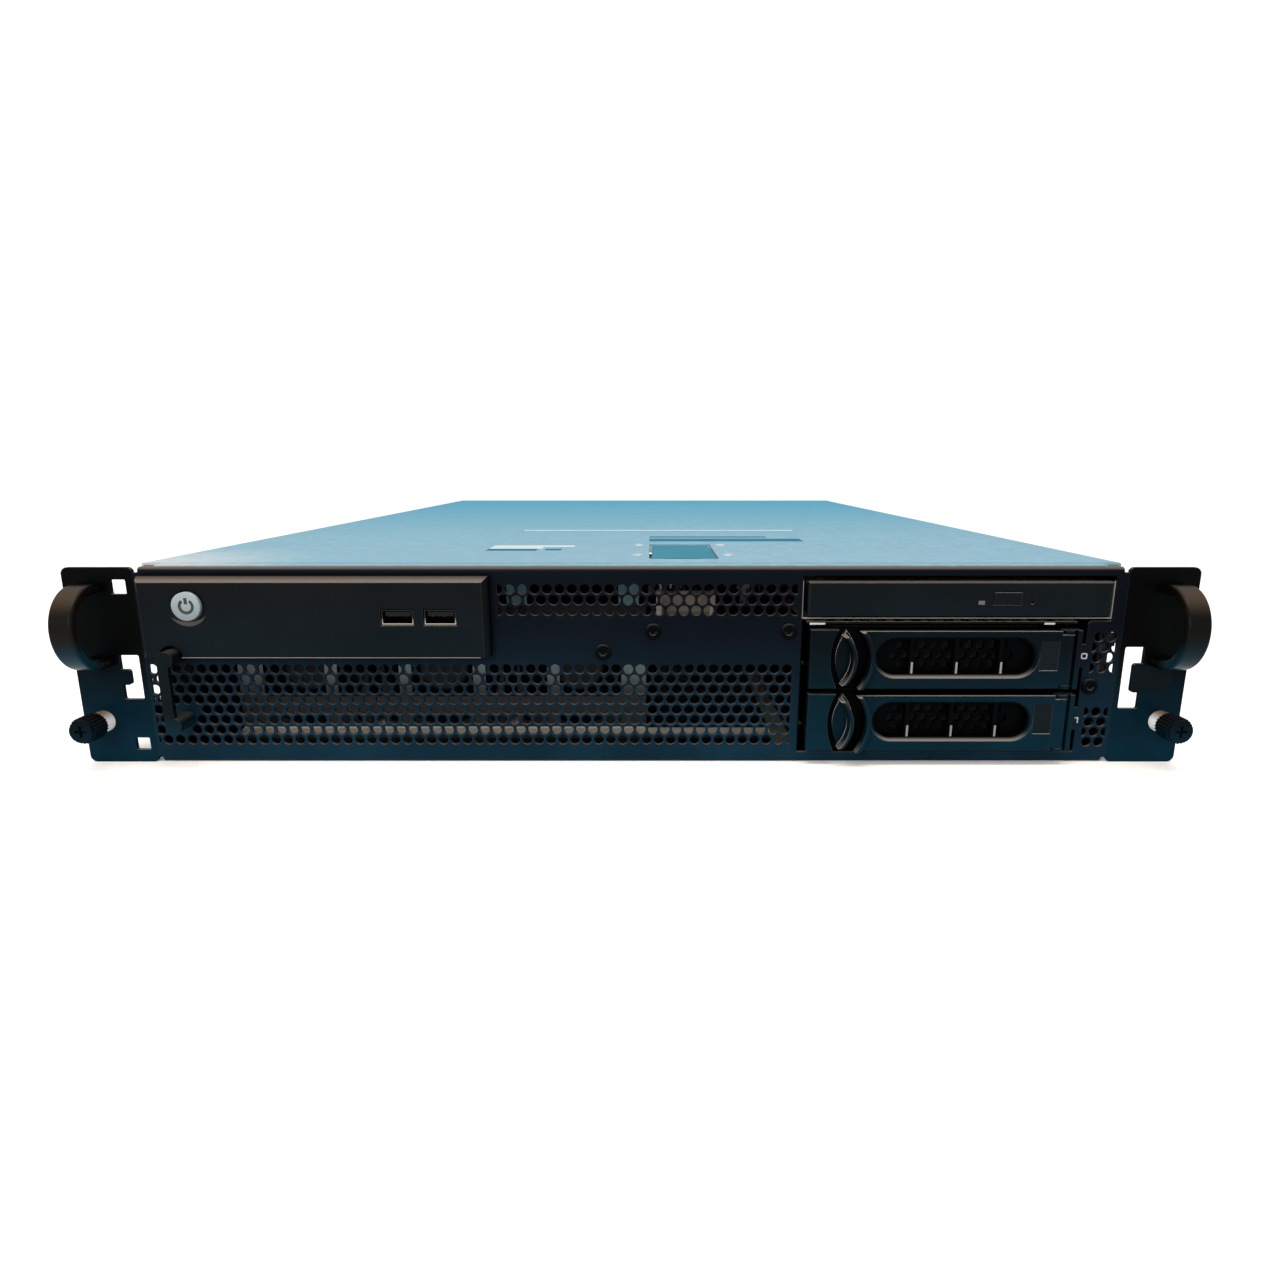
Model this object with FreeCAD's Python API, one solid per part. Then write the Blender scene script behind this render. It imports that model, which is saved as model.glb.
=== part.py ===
import FreeCAD, Part
import math
import os
from collections import namedtuple

# Two-unit rackmount workstation, drawn as the separate pieces that it comes apart into. Millimetres.
# +X is to the right of a person who faces the front, +Y runs to the back and +Z is up. Y is drawn from
# the front face of the panel, and every piece is moved at the end so that the origin is under the middle.

# Overall sizes, sheets and clearances
RACK_WIDTH = 482.6
EAR_WIDTH = 30.3
DEPTH = 680.0
CHASSIS_SHEET = 1.2
PANEL_SHEET = 1.5
EAR_SHEET = 2.0
COVER_SHEET = 1.1
BRACKET_SHEET = 1.0
SEAM = 0.15
RUN_GAP = 0.3
PIN_GAP = 0.05
OVERCUT = 1.0

# Drive bay, stacked from the floor upwards
BAY_FLOOR = 6.6
DISK_WIDTH = 101.6
DISK_LENGTH = 147.0
DISK_HEIGHT = 25.4
DISK_MARGIN = 0.1
CARRIER_GAP = 2.6
CAGE_HEADROOM = 1.6
OPTICAL_LIFT = 2.6
OPTICAL_BEZEL_HEIGHT = 15.0
PANEL_TOP_MARGIN = 5.8
CARRIER_WIDTH = 115.0
BAY_MARGIN_RIGHT = 15.0
BAY_CLEAR_RIGHT = 4.6
BAY_CLEAR_LEFT = 3.4
BAY_CLEAR_BELOW = 2.0
CAGE_CLEAR = 0.8
CAGE_DEPTH = 168.0
CAGE_FOOT = 8.0
LOUVRE_PITCH = 7.3
LOUVRE_HALF = 2.2
LOUVRE_MARGIN = 10.0
LOUVRE_SETBACK = 1.2
OPTICAL_RIB_HALF = 2.0

# Side walls with their channel for the rack rails
CHANNEL_DEPTH = 7.0
CHANNEL_LOW = 30.0
CHANNEL_TOP_MARGIN = 26.4
CHANNEL_JOG = 3.0
RIM_DROP = 0.2
RIM_LIP = 10.0
WALL_PARTINGS = (0, 2, 3, 7, 8)
SKIRT_DROP = 11.8
STUD_RADIUS = 3.0
STUD_HEAD_RADIUS = 5.0
STUD_REACH = 5.5
STUD_INSET = 40.0
STUD_COUNT = 4

# Front panel
FLANGE_DEPTH = 12.0
BEND_RADIUS = 2.0
PANEL_CORNER = 2.2
HOLE_RADIUS = 2.13
HOLE_PITCH = 5.3
ROW_PITCH = 4.58
GRILLE_EDGE = 1.4
GRILLE_TOP = 42.3
GRILLE_ROWS = 8
GRILLE_BAY_GAP = 3.4
PATCH_ROWS = 4
PATCH_EDGE = 1.5
PATCH_TOPS = (56.5, 23.0)
UPPER_DROP = 9.3
UPPER_ROWS = 3
UPPER_GAP = 3.0
UPPER_OVERRUN = 1.3
UPPER_START = 0.7
TAB_REACH = 1.6
TAB_SPAN = (0.32, 0.72)
BAY_CORNER = 1.0
BAY_STEP_CORNER = 2.0
SCREW_LOW_PLACE = (47.7, 1.3)
SCREW_HIGH_PLACE = (69.3, 10.3)
SCREW_BAY_GAP = 5.4
SCREW_EDGE_GAP = 3.6
SCREW_EDGE_DROP = 7.6
SCREW_RECESS_RADIUS = 1.5
SCREW_RADIUS = 1.5
SCREW_HEAD_RADIUS = 3.5
SCREW_HEAD_HEIGHT = 1.6
SCREW_LENGTH = 6.0
SCREW_GAP = 0.2

# Rack ears, thumbscrews and handles
RACK_HOLE_INSET = 8.75
THUMB_HEIGHT = 18.9
THUMB_HEAD_RADIUS = 5.8
THUMB_HEAD_LENGTH = 10.4
THUMB_NECK_RADIUS = 2.2
THUMB_NECK_REACH = 1.0
THUMB_THREAD_RADIUS = 2.4
THUMB_THREAD_LENGTH = 9.0
THUMB_TEETH = 24
THUMB_TOOTH_DEPTH = 0.5
THUMB_FACE_LENGTH = 1.4
THUMB_FACE_STEP = 0.9
THUMB_CROSS_REACH = 2.6
THUMB_CROSS_HALF = 0.6
THUMB_CROSS_DEPTH = 2.0
COLLAR_RADIUS = 4.8
COLLAR_LENGTH = 6.5
EAR_CORNER = 3.0
EAR_TAB_LENGTH = 30.0
EAR_WINDOW_INSET = 0.4
EAR_WINDOW_WIDTH = 8.6
EAR_WINDOW_CORNER = 0.8
EAR_WINDOW_TAB_CORNER = 1.4
RIGHT_WINDOW = (24.5, 52.1)
RIGHT_WINDOW_TAB = (4.6, 31.8, 44.7)
LEFT_WINDOW = (28.8, 48.5)
LEFT_WINDOW_TAB = (4.7, 35.2, 42.1)
SQUARE_HIGH_SPAN = (1.1, 7.7)
SQUARE_HIGH_DROP = (11.4, 5.2)
SQUARE_LOW_SPAN = (0.4, 6.8)
SQUARE_LOW_RISE = (5.6, 11.2)
SQUARE_CORNER = 0.6
HANDLE_INSET = 12.7
HANDLE_WIDTH = 9.8
HANDLE_RADIUS = 18.0
HANDLE_LEG = 8.0
HANDLE_BAR = 4.2
HANDLE_DROP = 24.3
HANDLE_ROUND = 1.3
PULL_INSET = 15.5
PULL_HEIGHTS = (20.0, 49.0)
PULL_POST_RADIUS = 3.5
PULL_POST_LENGTH = 10.3
PULL_STRAP = 2.5
PULL_STRAP_WIDTH = 4.4
PULL_CLEAR = 1.5

# Control bezel with power button and two serial sockets
BEZEL_INSET = 4.0
BEZEL_WIDTH = 147.0
BEZEL_HEIGHT = 34.6
BEZEL_DROP = 3.2
BEZEL_REACH = 7.0
BEZEL_WALL = 2.0
BEZEL_CHAMFER = 2.4
BEZEL_SMALL_CHAMFER = 0.9
BEZEL_RIM = 5.0
BUTTON_INSET = 20.9
BUTTON_RISE = 22.3
BUTTON_RADIUS = 6.0
BUTTON_PROUD = 1.0
BUTTON_TRAVEL = 1.5
BUTTON_FLANGE = 1.4
BUTTON_FLANGE_THICK = 1.0
BUTTON_SCOOP_RADIUS = 30.0
BUTTON_SCOOP_DEPTH = 0.5
SWITCH_HEIGHT = 4.0
SWITCH_HALF = 3.0
BUTTON_STEM_RADIUS = 2.0
DISH_RADIUS = 8.6
DISH_DEPTH = 1.2
SOCKET_INSETS = (38.3, 20.3)
SOCKET_RISE = 17.6
SOCKET_WIDTH = 13.2
SOCKET_HEIGHT = 6.2
SOCKET_WALL = 0.4
SOCKET_TONGUE = 1.9
TONGUE_GAP = 0.6
TONGUE_SIDE = 1.2
TONGUE_SETBACK = 1.5
SOCKET_RECESS = 0.6
BOARD_SHEET = 1.6
CONTROL_BOARD_BACK = 8.0
BOSS_RADIUS = 2.5

# Slim optical drive
OPTICAL_INSET = 7.3
OPTICAL_BEZEL_WIDTH = 128.6
OPTICAL_BEZEL_PROUD = 2.5
OPTICAL_BEZEL_THICK = 4.0
OPTICAL_CHAMFER = 0.5
OPTICAL_CLEAR = 2.2
LAMP_SPAN = (-12.3, -9.5)
LAMP_RISE = (-2.6, -1.0)
PINHOLE_PLACE = (10.5, -1.9)
PINHOLE_RADIUS = 0.6
OPTICAL_CASE_WIDTH = 128.0
OPTICAL_CASE_HEIGHT = 12.7
OPTICAL_CASE_RISE = 1.1
OPTICAL_CASE_START = 3.0
OPTICAL_CASE_DEPTH = 126.0
OPTICAL_CASE_WALL = 0.8
TRAY_WIDTH = 123.0
TRAY_THICK = 5.6
DISC_RADIUS = 60.3
DISC_RECESS = 3.0
DISC_EDGE = 3.0
HUB_RADIUS = 15.0
HUB_CLAMP_RADIUS = 7.3
HUB_PIN_RADIUS = 1.5
HUB_PLATTER = 1.0
HUB_CLAMP_HEIGHT = 1.6
HUB_CHAMFER = 0.6
EJECT_INSET = 44.2
EJECT_RISE = 8.0
EJECT_WIDTH = 11.4
EJECT_HEIGHT = 5.1
EJECT_PROUD = 0.6
EJECT_TRAVEL = 0.8
EJECT_CORNER = 0.4

# Hot-swap carriers
CARRIER_PLATE = 2.5
CHEEK_REACH = 5.0
LEVER_GAP = 0.5
LEVER_THICK = 5.5
LEVER_FLOOR = 0.3
LEVER_EDGE = 20.6
BLADE_SAG = 4.5
BLADE_THICK = 2.0
BLADE_REACH = 9.5
BLADE_ROUND = 0.7
RELEASE_EDGE = 15.6
RELEASE_THICK = 3.0
FIN_MARGIN = 1.5
FIN_SETBACK = 0.4
CHEEK_EDGE = 12.0
CHEEK_SAG = 3.1
PILL_LEFT = 29.1
PILL_RIGHT = 18.9
PILL_LOW = 6.4
PILL_HEIGHT = 15.0
PILL_CHAMFER = 1.6
RIB_COUNT = 3
RIB_PITCH = 19.15
RIB_WIDTH = 1.8
RIB_SETBACK = 1.4
LABEL_INSET = 16.9
LABEL_DEPTH = 0.4
LABEL_LOW = 8.2
LABEL_HEIGHT = 13.0
HINGE_INSET = 4.8
HINGE_PIN_RADIUS = 1.6
LUG_HEIGHT = 1.6
LUG_CLEAR = 0.85
SCREEN_RADIUS = 2.2
SCREEN_PITCH = 5.0
RAIL_LOW = 8.0
RAIL_HEIGHT = 10.0
LEDGE_SHEET = 1.2
LEDGE_REACH = 4.4
DISK_START = 6.0
DISK_LID = 4.0
DISK_STEP = 1.5
DISK_CORNER = 6.0
BACKPLANE_SHEET = 1.6
CONNECTOR_WIDTH = 44.0
CONNECTOR_HEIGHT = 6.0
CONNECTOR_CLEAR = 1.0
CONNECTOR_SEAT = 3.0

# Top cover, its latch and its hooks
COVER_START = 3.0
COVER_CORNER = 8.0
COVER_STEP = 0.4
COVER_STEP_DEPTH = 5.0
COVER_TRAVEL = 12.0
COVER_BEND_SHARE = 0.9
HOOK_COUNT = 3
HOOK_WIDTH = 10.0
HOOK_FOOT = 4.0
HOOK_SHEET = 1.2
HOOK_INSET = 60.0
LATCH_X = 23.3
LATCH_START = 23.4
LATCH_WIDTH = 31.4
LATCH_LENGTH = 76.0
POCKET_DEPTH = 9.0
POCKET_FLANGE = 11.0
POCKET_CORNER = 2.0
POCKET_FLANGE_CORNER = 3.0
LATCH_THICK = 3.0
LATCH_GAP = 1.2
LATCH_PIVOT_INSET = 6.5
LATCH_PIVOT_DROP = 2.0
LATCH_BARREL_RADIUS = 3.2
LATCH_PIN_RADIUS = 1.5
LATCH_NOTCH_SAG = 7.0
LATCH_NOTCH_MARGIN = 4.0
STIFFENER_HALF = 5.0
STIFFENER_START = 14.0
STIFFENER_END = 6.0
STIFFENER_HEIGHT = 2.0
RIVET_RADIUS = 1.6
RIVET_HEAD_RADIUS = 2.6
RIVET_HEAD = 0.5
RIVET_INSET = 5.5
RIVET_ENDS = (17.8, 70.1)

# Fans and air guide
FAN_COUNT = 3
FAN_SIZE = 60.0
FAN_DEPTH = 38.0
FAN_PITCH = 66.3
FAN_INSET = 9.8
FAN_START = 46.0
FAN_WALL = 1.6
FAN_TIP_GAP = 0.9
FAN_HUB_RADIUS = 12.5
FAN_BLADES = 7
FAN_BLADE_THICK = 1.6
FAN_MOTOR_DEPTH = 4.0
FAN_SHAFT_RADIUS = 1.5
FAN_STRUT = 3.0
FAN_SCREW_INSET = 5.0
FAN_SCREW_RADIUS = 2.1
FAN_ROOT_CHORD = 22.0
FAN_TIP_CHORD = 26.0
FAN_ROOT_PITCH = 35.0
FAN_TIP_PITCH = 60.0
FAN_BLADE_START = 3.0
FAN_BLADE_OVERRUN = 2.0
FAN_HUB_ROUND = 1.5
FAN_SHAFT_SETBACK = 1.0
FAN_CORNER = 3.0
GUARD_CORNER = 2.0
GUARD_WINDOWS = 5
GUARD_EDGE = 12.0
GUARD_POST = 6.0
GUARD_TOP = 4.5
GUARD_SILL = 1.0
GUARD_RAIL = (7.4, 15.9)
GUARD_RISE = 0.8
GUARD_STRIP = 14.0
LIFT_TAB_WIDTH = 9.6
LIFT_TAB_INSETS = (3.4, 56.9)
LIFT_TAB_RISE = 16.6
LIFT_TAB_NOTCH = 2.0
PLUG_WIDTH = 25.0
PLUG_HEIGHT = 11.0
PLUG_DEPTH = 12.0
PLUG_WALL = 1.0
PLUG_START = 6.6
PLUG_KEY = 6.0
PLUG_LATCH = 1.6
SHROUD_WALL = 2.0
SHROUD_SLOPE = 80.0
SHROUD_TOP_GAP = 8.4

# Main board and what stands on it
BOARD_WIDTH = 305.0
BOARD_DEPTH = 330.0
BOARD_SIDE_GAP = 2.8
BOARD_REAR_GAP = 5.0
STANDOFF_HEIGHT = 6.8
STANDOFF_RADIUS = 3.0
STANDOFF_ROWS = 3
STANDOFF_COLUMNS = 4
STANDOFF_INSET = 12.0
CPU_CENTRES = (52.0, 155.0)
CPU_START = 60.0
CPU_SOCKET = 52.0
CPU_SOCKET_HEIGHT = 5.0
CPU_LID = 37.0
CPU_LID_HEIGHT = 2.5
SINK_WIDTH = 90.0
SINK_LENGTH = 90.0
SINK_TOP_GAP = 10.0
SINK_BASE = 5.0
SINK_FINS = 22
SINK_FIN_THICK = 1.0
MEMORY_COUNT = 8
MEMORY_PITCH = 9.5
MEMORY_INSET = 26.0
MEMORY_START = 20.0
MEMORY_SLOT_LENGTH = 142.0
MEMORY_SLOT_WIDTH = 6.5
MEMORY_SLOT_HEIGHT = 9.0
MEMORY_LENGTH = 133.3
MEMORY_HEIGHT = 30.3
MEMORY_THICK = 1.3
MEMORY_SEAT = 4.0
POWER_HEADER_LENGTH = 52.0
POWER_HEADER_WIDTH = 9.0
POWER_HEADER_HEIGHT = 12.0
POWER_HEADER_INSET = 8.0
POWER_HEADER_START = 20.0
HEADER_HEIGHT = 5.0
HEADER_DEPTH = 5.0
HEADER_SIDE = 1.0
RIBBON_HEADER_START = 1.0
DATA_HEADER_HALF = 3.5
DATA_HEADER_RISE = 2.0
BOARD_CHIPS = ((60.0, 190.0, 34.0), (200.0, 215.0, 27.0), (250.0, 200.0, 16.0))
CHIP_HEIGHT = 3.0

# Rear sockets, expansion cards and power supply
REAR_PORTS = (("serial", 20.0, 31.0, 12.4), ("usb", 45.0, 14.6, 15.6), ("usb", 64.0, 14.6, 15.6),
              ("network", 86.0, 16.2, 13.6), ("network", 106.0, 16.2, 13.6))
PORT_INSET = 48.0
PORT_DEPTH = 22.0
PORT_PROUD = 0.6
PORT_WALL = 1.0
PORT_GAP = 0.4
NETWORK_SIDE = 1.0
NETWORK_BACK = 4.0
NETWORK_SILL = 1.6
NETWORK_HEAD = 2.4
USB_DIVIDER_HALF = 0.8
USB_TONGUE_SIDE = 0.8
USB_TONGUE_DROP = 2.8
SERIAL_LOW_INSET = 5.0
SERIAL_HIGH_INSET = 3.6
SERIAL_RIM = 2.2
SERIAL_CORNER = 1.0
SERIAL_DEPTH = 6.0
RISER_INSET = 186.0
RISER_LENGTH = 165.0
RISER_REAR_GAP = 12.0
RISER_TOP_GAP = 5.4
RISER_FOOT = 11.0
RISER_FOOT_SIDE = 3.0
RISER_SOCKET = 8.0
RISER_SOCKET_END = 8.0
RISER_SOCKET_SIDE = 3.0
CARD_PITCH = 18.4
CARD_RISE = 3.0
CARD_WIDTH = 100.0
CARD_LENGTH = 168.0
CARD_COOLER = 10.5
CARD_COOLER_GAP = 22.0
CARD_COOLER_LENGTH = 120.0
COOLER_SIDE = 8.0
COOLER_BASE = 3.0
COOLER_FINS = 16
COOLER_FIN_THICK = 1.2
CARD_PORTS = (30.0, 72.0)
CARD_PORT_WIDTH = 37.0
CARD_PORT_HEIGHT = 8.6
CARD_PORT_REACH = 4.0
CARD_PORT_DEPTH = 10.0
SLOT_LOW = 45.0
SLOT_WIDTH = 118.0
SLOT_HEIGHT = 16.4
SLOT_OVERLAP = 1.6
SLOT_CORNER = 1.0
VENT_WIDTH = 4.0
VENT_PITCH = 8.0
VENT_COUNT_LEFT = 4
VENT_COUNT_RIGHT = 11
VENT_LOW = 14.0
VENT_HEIGHT = 56.0
VENT_START = 14.0
VENT_CORNER = 1.8
PSU_WIDTH = 91.0
PSU_DEPTH = 252.0
PSU_HEADROOM = 4.4
PSU_WALL = 1.0
PSU_FAN_INSET = 33.0
PSU_FAN_RISE = 42.0
PSU_FAN_HOLE = 28.0
PSU_GRILLE_RINGS = 4
PSU_GRILLE_WIRE = 1.4
INLET_WIDTH = 20.0
INLET_HEIGHT = 27.0
INLET_DEPTH = 18.0
INLET_INSET = 17.0
INLET_RISE = 36.0
INLET_WALL = 1.5
INLET_CHAMFER = 4.0
INLET_FLANGE = 1.5
INLET_FLANGE_RIM = 2.0
PIN_PLACES = ((-2.0, -7.0), (-2.0, 7.0), (2.0, 0.0))
PIN_WIDTH = 4.0
PIN_THICK = 2.0
PIN_LENGTH = 13.0

# Leads inside the case
RIBBON_WIDTH = 20.0
RIBBON_THICK = 1.0
RIBBON_CENTRE = 62.0
DATA_WIDTH = 8.0
DATA_THICK = 1.2
DATA_CENTRE = 12.0
DATA_END_INSET = 8.0
DATA_RISE = 1.0
HARNESS_RADIUS = 4.0
HARNESS_RISE = 44.0
HARNESS_INSET = 13.0
BEND_SHARE = 0.45

# Sizes that follow from the ones above
HALF = RACK_WIDTH / 2 - EAR_WIDTH
INNER = HALF - CHANNEL_DEPTH - CHASSIS_SHEET
CARRIER_HEIGHT = DISK_HEIGHT + 2 * DISK_MARGIN
CARRIER_FLOORS = (BAY_FLOOR + CARRIER_HEIGHT + CARRIER_GAP, BAY_FLOOR)
CAGE_ROOF = CARRIER_FLOORS[0] + CARRIER_HEIGHT + CAGE_HEADROOM
OPTICAL_FLOOR = CAGE_ROOF + BRACKET_SHEET + OPTICAL_LIFT
PANEL_HEIGHT = OPTICAL_FLOOR + OPTICAL_BEZEL_HEIGHT + PANEL_TOP_MARGIN
COVER_TOP = PANEL_HEIGHT + COVER_SHEET
RIM_TOP = PANEL_HEIGHT - RIM_DROP
RIM_SIDE = HALF - COVER_SHEET - RUN_GAP
SKIRT_LOW = PANEL_HEIGHT - SKIRT_DROP
CHANNEL_HIGH = PANEL_HEIGHT - CHANNEL_TOP_MARGIN
BAY_RIGHT = HALF - BAY_MARGIN_RIGHT
CARRIER_RIGHT = BAY_RIGHT - BAY_CLEAR_RIGHT
CARRIER_LEFT = CARRIER_RIGHT - CARRIER_WIDTH
BAY_LEFT = CARRIER_LEFT - BAY_CLEAR_LEFT
CAGE_LEFT = CARRIER_LEFT - CAGE_CLEAR
CAGE_RIGHT = CARRIER_RIGHT + CAGE_CLEAR
OPTICAL_RIGHT = HALF - OPTICAL_INSET
OPTICAL_LEFT = OPTICAL_RIGHT - OPTICAL_BEZEL_WIDTH
OPTICAL_MIDDLE = (OPTICAL_LEFT + OPTICAL_RIGHT) / 2
OPTICAL_CASE_FLOOR = OPTICAL_FLOOR + OPTICAL_CASE_RISE
OPTICAL_BACK = OPTICAL_BEZEL_THICK - OPTICAL_BEZEL_PROUD
TRAY_FLOOR = OPTICAL_CASE_FLOOR + OPTICAL_CASE_WALL + RUN_GAP
TRAY_TOP = TRAY_FLOOR + TRAY_THICK
BEZEL_LEFT = -HALF + BEZEL_INSET
BEZEL_RIGHT = BEZEL_LEFT + BEZEL_WIDTH
BEZEL_TOP = PANEL_HEIGHT - BEZEL_DROP
BEZEL_LOW = BEZEL_TOP - BEZEL_HEIGHT
BUTTON_X = BEZEL_LEFT + BUTTON_INSET
BUTTON_Z = BEZEL_LOW + BUTTON_RISE
SOCKET_Z = BEZEL_LOW + SOCKET_RISE
THUMB_X = RACK_WIDTH / 2 - RACK_HOLE_INSET
HANDLE_X = RACK_WIDTH / 2 - HANDLE_INSET
HANDLE_Z = PANEL_HEIGHT - HANDLE_DROP
HANDLE_REACH = HANDLE_LEG + HANDLE_RADIUS
PULL_X = -HALF + PULL_INSET
FAN_LEFT = -INNER + FAN_INSET
FAN_RIGHT = FAN_LEFT + FAN_COUNT * FAN_PITCH
FAN_FLOOR = CHASSIS_SHEET + BRACKET_SHEET
FAN_FRONT = FAN_START + BRACKET_SHEET
FAN_BACK = FAN_FRONT + FAN_DEPTH
SHROUD_ROOF = PANEL_HEIGHT - SHROUD_TOP_GAP
REAR_INSIDE = DEPTH - CHASSIS_SHEET
BOARD_LEFT = -INNER + BOARD_SIDE_GAP
BOARD_RIGHT = BOARD_LEFT + BOARD_WIDTH
BOARD_BACK = REAR_INSIDE - BOARD_REAR_GAP
BOARD_FRONT = BOARD_BACK - BOARD_DEPTH
BOARD_LOW = CHASSIS_SHEET + STANDOFF_HEIGHT
BOARD_TOP = BOARD_LOW + BOARD_SHEET
PSU_RIGHT = INNER - RUN_GAP
PSU_LEFT = PSU_RIGHT - PSU_WIDTH
PSU_FRONT = DEPTH - PSU_DEPTH
PSU_TOP = PANEL_HEIGHT - PSU_HEADROOM
PSU_FAN_X = PSU_LEFT + PSU_FAN_INSET
PSU_FAN_Z = PSU_FAN_RISE
PSU_FAN_FRONT = DEPTH - PSU_WALL - FAN_DEPTH
RISER_X = BOARD_LEFT + RISER_INSET
CARD_LEFT = RISER_X - CARD_WIDTH
HINGE_X = CARRIER_RIGHT - HINGE_INSET
HINGE_Y = -LEVER_GAP - LEVER_THICK / 2
LATCH_LEFT = LATCH_X - LATCH_WIDTH / 2
LATCH_RIGHT = LATCH_X + LATCH_WIDTH / 2
LATCH_END = LATCH_START + LATCH_LENGTH
LATCH_PIVOT_Y = LATCH_END - LATCH_PIVOT_INSET
LATCH_PIVOT_Z = COVER_TOP - LATCH_THICK - LATCH_PIVOT_DROP
REAR_REACH = CARD_PORT_REACH
Y_MIDDLE = (DEPTH + REAR_REACH - HANDLE_REACH) / 2

V = FreeCAD.Vector
Disc = namedtuple("Disc", "u v radius")
Path = namedtuple("Path", "runs")
NORMALS = {"xz": V(0, 1, 0), "yz": V(1, 0, 0), "xy": V(0, 0, 1)}


# Drawing helpers

def lift(plane, u, v, level):
    """The point (u, v) of a drawing plane, at its level along the plane's normal."""
    if plane == "xz":
        return V(u, level, v)
    if plane == "yz":
        return V(level, u, v)
    return V(u, v, level)


def edge(points):
    """A straight edge through two points, or an arc through three."""
    if len(points) == 2:
        return Part.LineSegment(*points).toShape()
    return Part.Arc(*points).toShape()


def rect(u0, u1, v0, v1, radius=0):
    """Corners of a rectangle, each with the same corner radius."""
    return [(u0, v0, radius), (u1, v0, radius), (u1, v1, radius), (u0, v1, radius)]


def polygon(u, v, radius, sides, turn=0.0):
    """Corners of a regular polygon around a point."""
    angles = [turn + 2 * math.pi * i / sides for i in range(sides)]
    return [(u + radius * math.cos(a), v + radius * math.sin(a)) for a in angles]


def corner(before, point, after):
    """Where a rounded corner starts, its middle and where it ends."""
    here = V(point[0], point[1], 0)
    radius = point[2] if len(point) > 2 else 0
    if not radius:
        return [here]
    back = (V(before[0], before[1], 0) - here).normalize()
    ahead = (V(after[0], after[1], 0) - here).normalize()
    half = back.getAngle(ahead) / 2
    middle = (back + ahead).normalize()
    reach = radius / math.tan(half)
    return [here + back * reach, here + middle * (radius / math.sin(half) - radius), here + ahead * reach]


def wire(shape, plane, level):
    """A closed wire from a disc, a path of runs, or corner points that may carry a corner radius."""
    if isinstance(shape, Disc):
        centre = lift(plane, shape.u, shape.v, level)
        return Part.Wire(Part.makeCircle(shape.radius, centre, NORMALS[plane]))
    if isinstance(shape, Path):
        return Part.Wire([edge([lift(plane, u, v, level) for u, v in run]) for run in shape.runs])
    count = len(shape)
    corners = [corner(shape[i - 1], shape[i], shape[(i + 1) % count]) for i in range(count)]
    edges = []
    for i in range(count):
        bend = [lift(plane, p.x, p.y, level) for p in corners[i]]
        following = corners[(i + 1) % count][0]
        if len(bend) == 3:
            edges.append(edge(bend))
        edges.append(edge([bend[-1], lift(plane, following.x, following.y, level)]))
    return Part.Wire(edges)


def prism(shape, plane, start, end, holes=()):
    """A closed outline, less its holes, drawn out along the normal of its plane."""
    wires = [wire(item, plane, start) for item in (shape, *holes)]
    face = Part.makeFace(wires, "Part::FaceMakerBullseye")
    return face.extrude(NORMALS[plane] * (end - start))


def block(x0, x1, y0, y1, z0, z1):
    """A box between three pairs of limits."""
    return Part.makeBox(x1 - x0, y1 - y0, z1 - z0, V(x0, y0, z0))


def rod(plane, u, v, radius, start, end):
    """A round bar along the normal of a plane."""
    return Part.makeCylinder(radius, end - start, lift(plane, u, v, start), NORMALS[plane])


def join(shapes):
    """One solid from pieces that touch or overlap."""
    return shapes[0].fuse(shapes[1:]).removeSplitter()


def mirror(shape):
    """The same shape on the other side of the middle plane."""
    return shape.mirror(V(0, 0, 0), V(1, 0, 0))


def offset_path(points, distance):
    """An open path moved to the left of its own direction, with mitred corners."""
    flat = [V(u, v, 0) for u, v in points]
    directions = [(b - a).normalize() for a, b in zip(flat, flat[1:])]
    normals = [V(-d.y, d.x, 0) for d in directions]
    moved = [flat[0] + normals[0] * distance]
    for point, first, second in zip(flat[1:], normals, normals[1:]):
        middle = first + second
        moved.append(point + middle * (2 * distance / middle.dot(middle)))
    moved.append(flat[-1] + normals[-1] * distance)
    return [(p.x, p.y) for p in moved]


def sheet_outline(points, thickness):
    """The closed section of a bent sheet, from the path along one of its faces."""
    return list(points) + offset_path(points, thickness)[::-1]


def edges_where(shape, test):
    """The edges whose two ends both pass a test."""
    return [e for e in shape.Edges if all(test(vertex.Point) for vertex in e.Vertexes)]


def near(value, target):
    """Whether a length is the same as another, within a hair."""
    return abs(value - target) < 1e-4


# Chassis

def wall_path():
    """Outer face of the right wall from floor to rim, with the channel that takes a rack rail."""
    channel = HALF - CHANNEL_DEPTH
    step = SKIRT_LOW - RUN_GAP
    return [(HALF, 0), (HALF, CHANNEL_LOW - CHANNEL_JOG), (channel, CHANNEL_LOW), (channel, CHANNEL_HIGH),
            (HALF, CHANNEL_HIGH + CHANNEL_JOG), (HALF, step - HALF + RIM_SIDE), (RIM_SIDE, step),
            (RIM_SIDE, RIM_TOP)]


def section_path():
    """Outline of the case from the left rim, under the floor, to the right rim."""
    right = wall_path()
    return [(-x, z) for x, z in reversed(right)] + right


def hook_starts():
    """Where each cover hook begins along the case."""
    span = REAR_INSIDE - 2 * HOOK_INSET - HOOK_WIDTH
    return [HOOK_INSET + span * i / (HOOK_COUNT - 1) for i in range(HOOK_COUNT)]


def ear_tabs():
    """Height limits of the two tabs by which an ear is screwed to the wall."""
    return ((PANEL_SHEET + RUN_GAP, CHANNEL_LOW - CHANNEL_JOG),
            (CHANNEL_HIGH + CHANNEL_JOG, SKIRT_LOW - RUN_GAP - HALF + RIM_SIDE))


def ear_screw_places():
    """Y and Z of the screws in each ear's tabs."""
    quarter = EAR_TAB_LENGTH / 4
    heights = [(low + high) / 2 for low, high in ear_tabs()]
    return [(EAR_SHEET + quarter * k, z) for k in (1, 3) for z in heights]


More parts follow.
